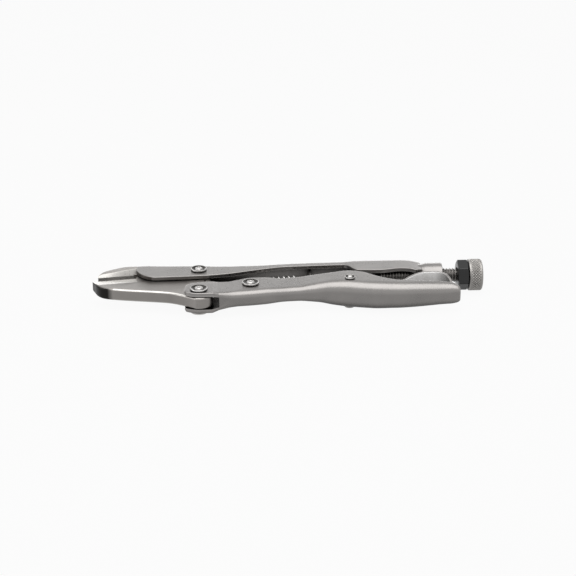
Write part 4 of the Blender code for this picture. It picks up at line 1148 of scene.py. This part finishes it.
def dress():
    """Make every piece in its own finish."""
    finishes = {name: plated_steel(name, *row) for name, row in FINISHES.items()}
    # The lower jaw's finish gets a painted dark reflection at its tip
    paint_tip_shade(finishes["tempered_nickel_tip_shaded"])
    # The release lever's finish gets a painted dark reflection at its rear end
    paint_end_shade(finishes["sprung_steel_painted_light"])
    finishes["black_steel"].set("IOR", BLACK_IOR)
    look = {name: finish.material for name, finish in finishes.items()}
    fixed_handle(look["satin_nickel"], look["front_edge_shade_steel"])
    upper_jaw(look["forged_nickel"], look["ground_steel_painted_bright"])
    lower_jaw(look["tempered_nickel_tip_shaded"], look["ground_steel_painted_bright"], look["highlit_edge_steel"])
    lever_handle(look["satin_nickel"], look["sprung_steel_painted_light"])
    waist = mix(WAIST_HALF_WIDTH, GRIP_HALF_WIDTH, LEVER_SHARES[2][3])
    looks = (look["rivet_steel"], look["rivet_ring_shade_steel"])
    rivet("jaw_pivot_rivet", "fixed_side", PIVOT, FRONT_HALF_WIDTH, JAW_HEAD_RADIUS, *looks)
    rivet("lever_pivot_rivet", "lever", LEVER_PIVOT, EAR_HALF_WIDTH, LEVER_HEAD_RADIUS, *looks)
    rivet("link_pivot_rivet", "lever", LINK_PIVOT, waist, LINK_HEAD_RADIUS, *looks)
    rivet("release_pivot_pin", "lever", RELEASE_PIVOT, GRIP_HALF_WIDTH, PIN_HEAD_RADIUS, *looks,
          PIN_SHANK, PIN_HEAD_HEIGHT)
    toggle_link(look["forged_nickel"])
    # The release lever's strip is painted bright in place of its reflection
    release_lever(look["sprung_steel_painted_light"], look["satin_nickel"])
    tension_spring(look["rivet_steel"])
    adjusting_screw(look["thread_steel"])
    adjusting_knob(look["knurled_steel"])
    lock_nut(look["black_steel"])


def place_camera():
    """The camera at the photograph's angle and framing."""
    data = bpy.data.cameras.new("camera")
    data.lens = CAMERA_LENS
    data.sensor_width = CAMERA_SENSOR
    data.clip_start = CAMERA_NEAR
    camera = put("camera", data)
    camera.rotation_euler = (math.pi / 2 - CAMERA_ELEVATION, 0, CAMERA_AZIMUTH)
    offset = Vector((CAMERA_RIGHT, CAMERA_UP, CAMERA_DISTANCE))
    camera.location = JAW_PIVOT + camera.rotation_euler.to_matrix() @ offset
    bpy.context.scene.camera = camera


def softbox(name, place, target, width, height, radiance):
    """A rectangular lamp of even radiance, hidden from the camera."""
    data = bpy.data.lights.new(name, "AREA")
    data.shape = "RECTANGLE"
    data.size = width
    data.size_y = height
    data.energy = radiance * math.pi * width * height
    lamp = put(name, data)
    lamp.location = place
    lamp.rotation_euler = (Vector(target) - Vector(place)).to_track_quat("-Z", "Y").to_euler()
    lamp.visible_camera = False


def make_world():
    """An even pale surround, white where it is seen, directly or in metal."""
    world = bpy.data.worlds.new("surround")
    bpy.context.scene.world = world
    nodes = Nodes(world)
    level = nodes.add("Background", Color=(1, 1, 1, 1), Strength=SURROUND_LEVEL)
    white = nodes.add("Background", Color=(1, 1, 1, 1))
    mixer = nodes.add("MixShader", nodes.seen_rays(SEEN_OR_MIRRORED), level.outputs[0], white.outputs[0])
    nodes.feed(nodes.tree.nodes["World Output"].inputs["Surface"], mixer.outputs[0])


def make_floor():
    """A plain pale floor: nearly white where it is seen, with a faint shadow left on it."""
    bm = bmesh.new()
    bmesh.ops.create_grid(bm, x_segments=1, y_segments=1, size=FLOOR_HALF_SIZE)
    floor = raw_object("floor", bm)
    material = bpy.data.materials.new("floor")
    nodes = Nodes(material)
    shader = nodes.tree.nodes["Principled BSDF"]
    shader.inputs["Base Color"].default_value = (FLOOR_TONE, FLOOR_TONE, FLOOR_TONE, 1)
    shader.inputs["Roughness"].default_value = FLOOR_ROUGHNESS
    shader.inputs["Specular IOR Level"].default_value = 0
    glow = nodes.add("Emission")
    direct = nodes.math("MULTIPLY", nodes.seen_rays(SEEN), FLOOR_GLOW_CAMERA - FLOOR_GLOW_GLOSSY)
    share = nodes.math("MULTIPLY_ADD", nodes.seen_rays(SEEN_OR_MIRRORED), FLOOR_GLOW_GLOSSY, direct)
    mixer = nodes.add("MixShader", share, shader.outputs[0], glow.outputs[0])
    nodes.feed(nodes.tree.nodes["Material Output"].inputs["Surface"], mixer.outputs[0])
    floor.data.materials.append(material)


place_camera()
make_world()
make_floor()
for lamp_name, lamp in LAMPS.items():
    softbox(lamp_name, *lamp)
dress()
bpy.context.scene.view_settings.view_transform = "Standard"
